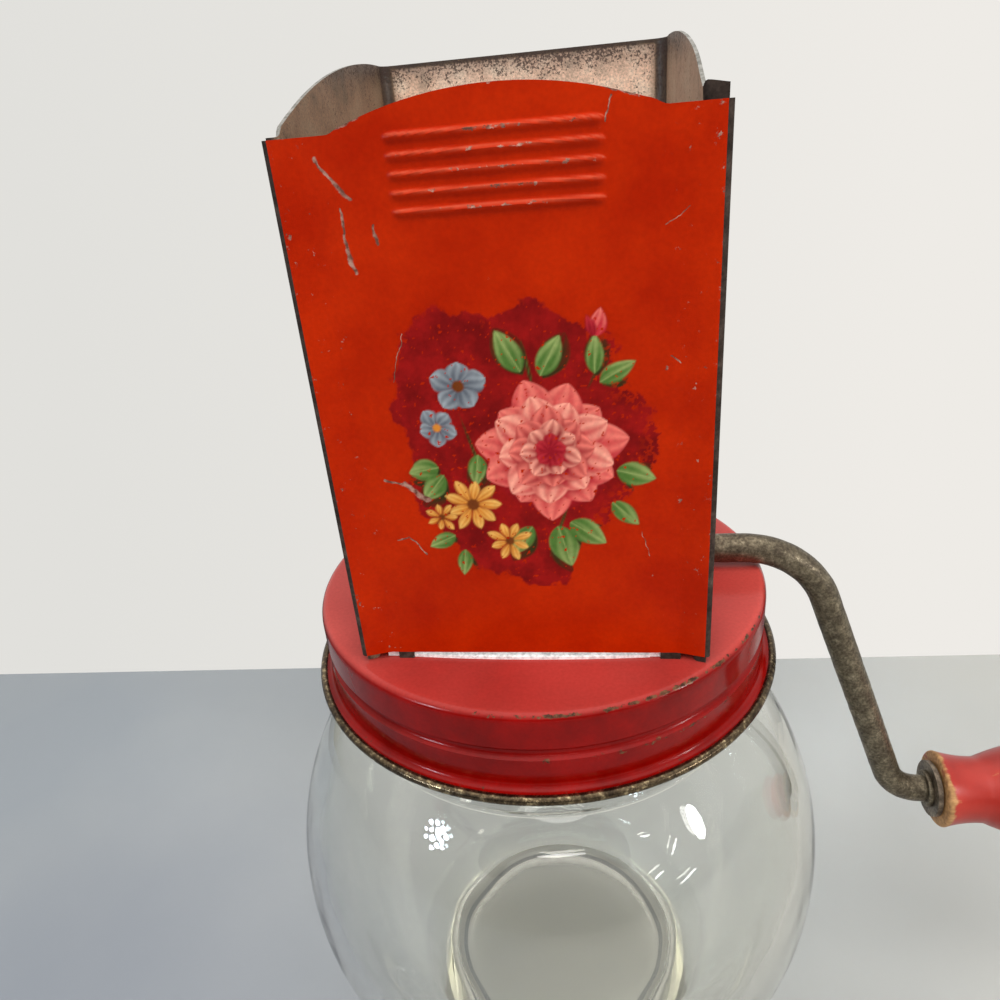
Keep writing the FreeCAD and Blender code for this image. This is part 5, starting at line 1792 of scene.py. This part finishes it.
@dataclass
class Crank:
    """The bent rod with its collar and riveted head; the rotor's pieces get their metal."""

    radius: float = 2.2
    shaft_height: float = 97.87
    shaft_end: float = 24.4
    corner_x: float = 40.46
    lean: float = 21.1
    arm: float = 52.0
    shaft_bend: float = 14.0
    pin_bend: float = 6.0
    flat_end: float = 15.5
    flat_depth: float = 0.5
    collar_gap: float = 5.0
    collar_width: float = 0.8
    collar_radius: float = 3.0
    collar_round: float = 0.2
    knob_length: float = 30.0
    washer: float = 0.8
    play: float = 0.3
    head_radius: float = 3.3
    head_length: float = 1.3
    head_edge: float = 0.35
    head_flat: float = 1.4
    head_dome: float = 2.6
    lump: float = 0.05
    lump_size: float = 1.6
    sides: int = 40

    @property
    def turn(self) -> float:
        """Angle of both bends in radians."""
        return math.radians(90.0 - self.lean)

    @property
    def arm_way(self) -> Vector:
        """The way the arm runs, from the shaft to the pin."""
        lean = math.radians(self.lean)
        return Vector((math.sin(lean), 0.0, -math.cos(lean)))

    @property
    def pin_corner(self) -> Vector:
        """The place where the lines of the arm and the pin meet."""
        return Vector((self.corner_x, 0.0, self.shaft_height)) + self.arm_way * self.arm

    @property
    def collar_x(self) -> float:
        """Place of the collar's inner face."""
        return self.pin_corner.x + self.collar_gap

    @property
    def collar_end(self) -> float:
        """Place of the collar's outer face, which the first washer runs on."""
        return self.collar_x + self.collar_width

    @property
    def head_x(self) -> float:
        """Place of the riveted head's inner face."""
        return self.collar_end + 2.0 * (self.washer + self.play) + self.knob_length

    def build(self) -> None:
        """Make the rod, its collar and its head, dress the rotor and add the knob."""
        make_piece("crank_rod_bent", self.rod(), Body.CRANK, [ROD_STEEL],
                   ["crank_rod"], crease=50.0)
        height = self.pin_corner.z
        for name, part in (("crank_collar", self.collar()),
                           ("crank_riveted_head", self.head())):
            turned = part.turned(48, axis=RIGHTWARD)
            bmesh.ops.translate(turned, verts=turned.verts, vec=(0.0, 0.0, height))
            make_piece(name, turned, Body.CRANK, [ROD_STEEL])
        names = [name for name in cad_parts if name.startswith("cutter") or "spacer" in name]
        for name in names:
            dress_node(name, CUTTER_STEEL)
        for name in ("knob_washer_inner", "knob_washer_outer"):
            dress_node(name, WASHER_STEEL)
        Knob(start_x=self.collar_end + self.washer + self.play, height=height).build()

    def rod(self) -> BMesh:
        """Sweep a round section along shaft, arm and pin.

        Returns:
            The rod's mesh.
        """
        mesh = bmesh.new()
        made = bmesh.ops.create_circle(mesh, segments=self.sides, radius=self.radius)
        bmesh.ops.rotate(mesh, cent=ORIGIN, verts=mesh.verts,
                         matrix=Matrix.Rotation(math.pi / 2.0, 3, "Y"))
        bmesh.ops.translate(mesh, verts=mesh.verts,
                            vec=(-self.shaft_end, 0.0, self.shaft_height))
        bmesh.ops.contextual_create(mesh, geom=made["verts"])
        ring = mesh.edges[:]
        shaft_cut = self.shaft_bend * math.tan(self.turn / 2.0)
        pin_cut = self.pin_bend * math.tan(self.turn / 2.0)
        bend_x = self.corner_x - shaft_cut
        ring = self.run(mesh, ring, Vector((bend_x + self.shaft_end, 0.0, 0.0)), 70)
        ring = self.bend(mesh, ring, Vector((bend_x, 0.0, self.shaft_height - self.shaft_bend)),
                         self.turn, 24)
        ring = self.run(mesh, ring, self.arm_way * (self.arm - shaft_cut - pin_cut), 50)
        start = self.pin_corner - self.arm_way * pin_cut
        across = Vector((-self.arm_way.z, 0.0, self.arm_way.x))
        ring = self.bend(mesh, ring, start + across * self.pin_bend, -self.turn, 14)
        pin = self.head_x - self.pin_corner.x - pin_cut
        ring = self.run(mesh, ring, Vector((pin, 0.0, 0.0)), 12)
        bmesh.ops.contextual_create(mesh, geom=ring)
        self.flatten(mesh)
        self.rough_up(mesh)
        bmesh.ops.recalc_face_normals(mesh, faces=mesh.faces)
        return mesh

    def collar(self) -> Outline:
        """Draw the half section of the collar that was swaged on the pin.

        Returns:
            The outline, with the pin's axis at z = 0.
        """
        start, end = self.collar_x, self.collar_end
        wide, soft = self.collar_radius, self.collar_round
        return (Outline(start, 0.0).line(start, wide - soft)
                .arc(start + soft, wide, soft, Side.RIGHT, 3).line(end - soft, wide)
                .arc(end, wide - soft, soft, Side.RIGHT, 3).line(end, 0.0))

    def head(self) -> Outline:
        """Draw the half section of the pin's riveted head.

        Returns:
            The outline, with the pin's axis at z = 0.
        """
        start, end, wide = self.head_x, self.head_x + self.head_length, self.head_radius
        return (Outline(start, 0.0).line(start, wide - 0.1).line(start + self.head_edge, wide)
                .arc(end, self.head_flat, self.head_dome, Side.RIGHT, 6).line(end, 0.0))

    @staticmethod
    def run(mesh: BMesh, ring: list[BMEdge], way: Vector, steps: int) -> list[BMEdge]:
        """Extrude a ring of edges straight.

        Args:
            mesh: the rod's mesh.
            ring: the edges to extrude.
            way: the whole run.
            steps: how many equal steps it has.

        Returns:
            The last ring.
        """
        for _ in range(steps):
            ring = pull(mesh, ring, way / steps)
        return ring

    @staticmethod
    def bend(mesh: BMesh, ring: list[BMEdge], centre: Vector, turn: float,
             steps: int) -> list[BMEdge]:
        """Extrude a ring of edges round a bend.

        Args:
            mesh: the rod's mesh.
            ring: the edges to extrude.
            centre: the middle of the bend.
            turn: its angle in radians.
            steps: how many equal steps it has.

        Returns:
            The last ring.
        """
        made = bmesh.ops.spin(mesh, geom=ring, cent=centre, axis=(0.0, 1.0, 0.0), angle=turn,
                              steps=steps)
        return [item for item in made["geom_last"] if isinstance(item, BMEdge)]

    def flatten(self, mesh: BMesh) -> None:
        """Mill the flat that drives the cutters.

        Args:
            mesh: the rod's mesh.
        """
        height = self.shaft_height + self.radius - self.flat_depth
        for vert in mesh.verts:
            if vert.co.x < self.flat_end and vert.co.z > height:
                vert.co.z = height

    def rough_up(self, mesh: BMesh) -> None:
        """Give the free part of the rod the shallow lumps of an old surface.

        Args:
            mesh: the rod's mesh.
        """
        mesh.normal_update()
        moves = []
        for vert in mesh.verts:
            share = step(22.0, 24.0, vert.co.x) * (1.0 - step(60.0, 62.0, vert.co.x))
            wave = noise.noise(vert.co / self.lump_size)
            moves.append(vert.normal * (self.lump * share * wave))
        for vert, move in zip(mesh.verts, moves):
            vert.co += move


@dataclass
class Knob:
    """The turned wooden knob that runs on the rod's end.

    Each place on its profile is its distance from the knob's inner end and its radius.
    """

    start_x: float
    height: float
    length: float = 30.0
    bore: float = 2.26
    inner_end: float = 5.9
    lip: tuple[float, float] = (0.4, 6.25)
    waist: tuple[float, float] = (7.0, 5.4)
    swell: tuple[float, float] = (20.0, 8.6)
    shoulder: tuple[float, float] = (28.0, 7.0)
    outer_end: float = 5.2
    segments: int = 96

    def build(self) -> None:
        """Spin the knob about the pin and dress it."""
        profile = (
            Outline(0.0, self.bore).line(0.0, self.inner_end, 3)
            .arc(*self.lip, 0.45, Side.RIGHT, 3)
            .arc(*self.waist, 20.0, Side.LEFT, 12)
            .arc(*self.swell, 40.0, Side.RIGHT, 18)
            .arc(*self.shoulder, 14.0, Side.RIGHT, 12)
            .arc(self.length, self.outer_end, 3.0, Side.RIGHT, 8)
            .line(self.length, self.bore, 4).line(0.0, self.bore, 10)
        )
        mesh = profile.turned(self.segments, axis=RIGHTWARD)
        store(mesh, "wear", self.wear)
        bmesh.ops.translate(mesh, verts=mesh.verts, vec=(self.start_x, 0.0, self.height))
        make_piece("knob_turned", mesh, Body.KNOB, [KNOB_PAINT], ["crank_knob"])

    def wear(self, place: Vector) -> float:
        """Tell how thin the paint is, on the swell and at both ends.

        Args:
            place: a place of the knob, with its inner end at the origin.

        Returns:
            A share from 0 to 1.
        """
        ends = max(1.0 - step(0.0, 1.6, place.x),
                   step(self.length - 2.0, self.length - 0.4, place.x))
        swell = 1.0 - step(0.0, 7.0, abs(place.x - self.swell[0]))
        return max(0.9 * ends, 0.45 * swell)


# ------ the studio


# lit gaps in a leafy window: place across and up, and width
DAPPLES: tuple[Place, ...] = (
    (-52.0, 34.0, 26.0), (-20.0, 50.0, 22.0), (16.0, 44.0, 30.0), (46.0, 22.0, 24.0),
    (4.0, 14.0, 34.0), (-34.0, 4.0, 24.0), (30.0, -4.0, 22.0), (-12.0, -22.0, 30.0),
    (20.0, -36.0, 26.0), (48.0, -30.0, 18.0), (-46.0, -34.0, 20.0), (2.0, -56.0, 22.0),
    (-62.0, -6.0, 16.0), (-2.0, 34.0, 14.0),
)
# slits of light beside the right window: direction, size, turn
SLITS: tuple[tuple[Place, tuple[float, float], float], ...] = (
    ((0.640, -0.651, 0.409), (50.8, 8.0), -19.4), ((0.775, -0.577, 0.258), (70.4, 11.0), 41.0),
    ((0.679, -0.713, 0.175), (59.5, 10.0), 13.9), ((0.806, -0.589, 0.059), (96.6, 9.0), 7.1),
)


@dataclass
class Studio:
    """Floor, backdrop, lamps and camera."""

    camera_place: Place = (10.05, -102.56, 156.48)
    turn: float = 8.5
    pitch: float = 25.57
    roll: float = 5.07
    focal_share: float = 0.751
    sensor: float = 36.0
    near_clip: float = 0.01
    far_clip: float = 20.0
    floor_edge: float = 96.7
    floor_slope: float = 0.0395
    floor_reach: float = 3000.0
    wall_left: str = "E1E0DC"
    wall_right: str = "EEEBE6"
    room_pale: str = "EAE9E6"
    room_dark: str = "44484C"
    room_haze: str = "8E9086"
    ambient: float = 0.5
    middle: Place = (0.0, 0.0, 70.0)
    distance: float = 700.0
    window: Place = (-0.70, -0.629, 0.337)
    window_glow: float = 30.0
    glint_glow: float = 60.0
    right_glow: float = 36.0
    strip_glow: float = 14.0
    slit_glow: float = 22.0
    overhead_glow: float = 5.4

    def build(self) -> None:
        """Set up everything round the object."""
        self.camera()
        self.floor()
        self.world()
        self.lamps()
        bpy.context.scene.view_settings.view_transform = "Standard"

    def camera(self) -> None:
        """Set up a wide lens close by, tilted down and a little rolled."""
        turn, pitch, roll = (math.radians(value) for value in (self.turn, self.pitch, self.roll))
        ahead = Vector((-math.sin(turn) * math.cos(pitch), math.cos(turn) * math.cos(pitch),
                        -math.sin(pitch)))
        level = Vector((math.cos(turn), math.sin(turn), 0.0))
        above = level.cross(ahead)
        right = level * math.cos(roll) - above * math.sin(roll)
        upward = level * math.sin(roll) + above * math.cos(roll)
        data = bpy.data.cameras.new("camera")
        data.sensor_width = self.sensor
        data.lens = self.sensor * self.focal_share
        data.clip_start = self.near_clip
        data.clip_end = self.far_clip
        camera = put("camera", data)
        axes = Matrix((right, upward, -ahead)).transposed().to_4x4()
        camera.matrix_world = Matrix.Translation(Vector(self.camera_place) * MM) @ axes
        bpy.context.scene.camera = camera

    def floor(self) -> None:
        """Lay a table top that ends a little behind the object."""
        mesh = bmesh.new()
        bmesh.ops.create_grid(mesh, x_segments=1, y_segments=1, size=self.floor_reach)
        for vert in mesh.verts:
            if vert.co.y > 0.0:
                vert.co.y = self.floor_edge + self.floor_slope * vert.co.x
        data = as_data("table_top", mesh)
        data.materials.append(FLOOR_PAINT.material())
        floor = put("table_top", data)

    def world(self) -> None:
        """Give a pale wall to the camera, a room to mirrors and glass, and plain light."""
        world = bpy.data.worlds.new("studio")
        world.use_nodes = True
        tree = world.node_tree
        tree.nodes.clear()
        path = add(tree, "LightPath")
        way = add(tree, "TexCoord")
        lean = add(tree, "VectorMath", {0: way.outputs["Generated"], 1: (0.1, 0.35, 0.93)},
                   operation="DOT_PRODUCT")
        facing = add(tree, "MapRange", {0: lean.outputs["Value"], 1: -0.35, 2: 0.25, 3: 0.0,
                                        4: 1.0}, interpolation_type="SMOOTHSTEP")
        room = add(tree, "ValToRGB", {0: facing},
                   stops=[(0.0, self.room_dark), (1.0, self.room_pale)])
        split = add(tree, "SeparateXYZ", {0: way.outputs["Generated"]})
        # painted light falloff: the backdrop seen by the camera is a little darker on the left
        across = add(tree, "MapRange", {0: split.outputs["X"], 1: -0.6, 2: 0.35, 3: 0.0,
                                        4: 1.0})
        wall = add(tree, "ValToRGB", {0: across},
                   stops=[(0.0, self.wall_left), (1.0, self.wall_right)])
        seen = add(tree, "Math", {0: path.outputs["Is Glossy Ray"],
                                  1: path.outputs["Is Transmission Ray"]}, operation="MAXIMUM")
        ambient = add(tree, "Background", {"Color": linear(WHITE), "Strength": self.ambient})
        sky = add(tree, "MapRange", {0: split.outputs["Z"], 1: 0.6, 2: 0.9, 3: 1.0, 4: 2.4})
        mirrored = add(tree, "Background", {"Color": room.outputs[0], "Strength": sky})
        haze = add(tree, "ValToRGB", {0: facing},
                   stops=[(0.0, self.room_haze), (1.0, self.room_pale)])
        through = add(tree, "Background", {"Color": haze.outputs[0], "Strength": sky})
        mirrored = add(tree, "MixShader", {0: path.outputs["Is Transmission Ray"],
                                           1: mirrored, 2: through})
        backdrop = add(tree, "Background", {"Color": wall.outputs[0], "Strength": 1.0})
        mix = add(tree, "MixShader", {0: seen, 1: ambient, 2: mirrored})
        mix = add(tree, "MixShader", {0: path.outputs["Is Camera Ray"], 1: mix, 2: backdrop})
        add(tree, "OutputWorld", {"Surface": mix})
        bpy.context.scene.world = world

    def lamps(self) -> None:
        """Hang the leafy window and its glints, the right window, strip, slits and overhead."""
        far = self.distance
        for count, (x, y, wide) in enumerate(DAPPLES):
            size = (wide, wide * 0.8)
            self.lamp(f"window_left_{count}", self.window, far, size, self.window_glow,
                      "CFE8FF", (x, y))
            self.lamp(f"glint_left_{count}", self.window, far + 2.0, size, self.glint_glow,
                      "E4F1FF", (x, y), lighting=False)
        self.lamp("window_right", (0.887, -0.368, 0.281), far, (66.0, 160.0),
                  self.right_glow, WHITE, (-16.0, -8.0), turn=-6.0)
        self.lamp("strip_front", (0.113, -0.886, 0.45), far, (240.0, 14.0),
                  self.strip_glow, "FFFDF6")
        for count, (way, size, turn) in enumerate(SLITS):
            self.lamp(f"slit_right_{count}", way, far, size, self.slit_glow, WHITE, turn=turn)
        self.lamp("overhead", (0.1, -0.5, 1.0), far + 200.0, (800.0, 800.0),
                  self.overhead_glow, WHITE, mirrored=False)

    def lamp(self, name: str, way: Place, reach: float,
             size: tuple[float, float], radiance: float, colour: str,
             offset: tuple[float, float] = (0.0, 0.0), turn: float = 0.0,
             mirrored: bool = True, lighting: bool = True) -> None:
        """Hang an elliptic lamp that faces the object.

        Args:
            name: the lamp's name.
            way: its direction from the object's middle.
            reach: its distance from there.
            size: its width and height.
            radiance: its brightness as seen from the object.
            colour: its colour as sRGB hex.
            offset: how far it is moved across its own face.
            turn: how far it is turned about its own direction, in degrees.
            mirrored: whether shiny surfaces show it.
            lighting: whether it lights what is matt.
        """
        wide, high = (value * MM for value in size)
        data = bpy.data.lights.new(name, "AREA")
        data.shape = "ELLIPSE"
        data.size, data.size_y = wide, high
        data.energy = radiance * math.pi * (math.pi / 4.0) * wide * high
        data.color = linear(colour)[:3]
        lamp = put(name, data)
        aim = Vector(self.middle)
        place = aim + Vector(way).normalized() * reach
        track = (place - aim).to_track_quat("Z", "Y").to_matrix()
        lamp.location = (place + track @ Vector((*offset, 0.0))) * MM
        lamp.rotation_mode = "QUATERNION"
        lamp.rotation_quaternion = (
            track @ Matrix.Rotation(math.radians(turn), 3, "Z")).to_quaternion()
        lamp.visible_glossy = mirrored
        lamp.visible_diffuse = lighting


def main() -> None:
    """Build the object's sub-assemblies in order, then the studio."""
    logging.basicConfig(level=logging.INFO, format="%(name)s %(message)s")
    GlassJar().build()
    ScrewLid().build()
    hopper = Hopper()
    hopper.build()
    FlowerTransfer(hopper).build()
    Crank().build()
    Studio().build()


if __name__ == "__main__":
    main()
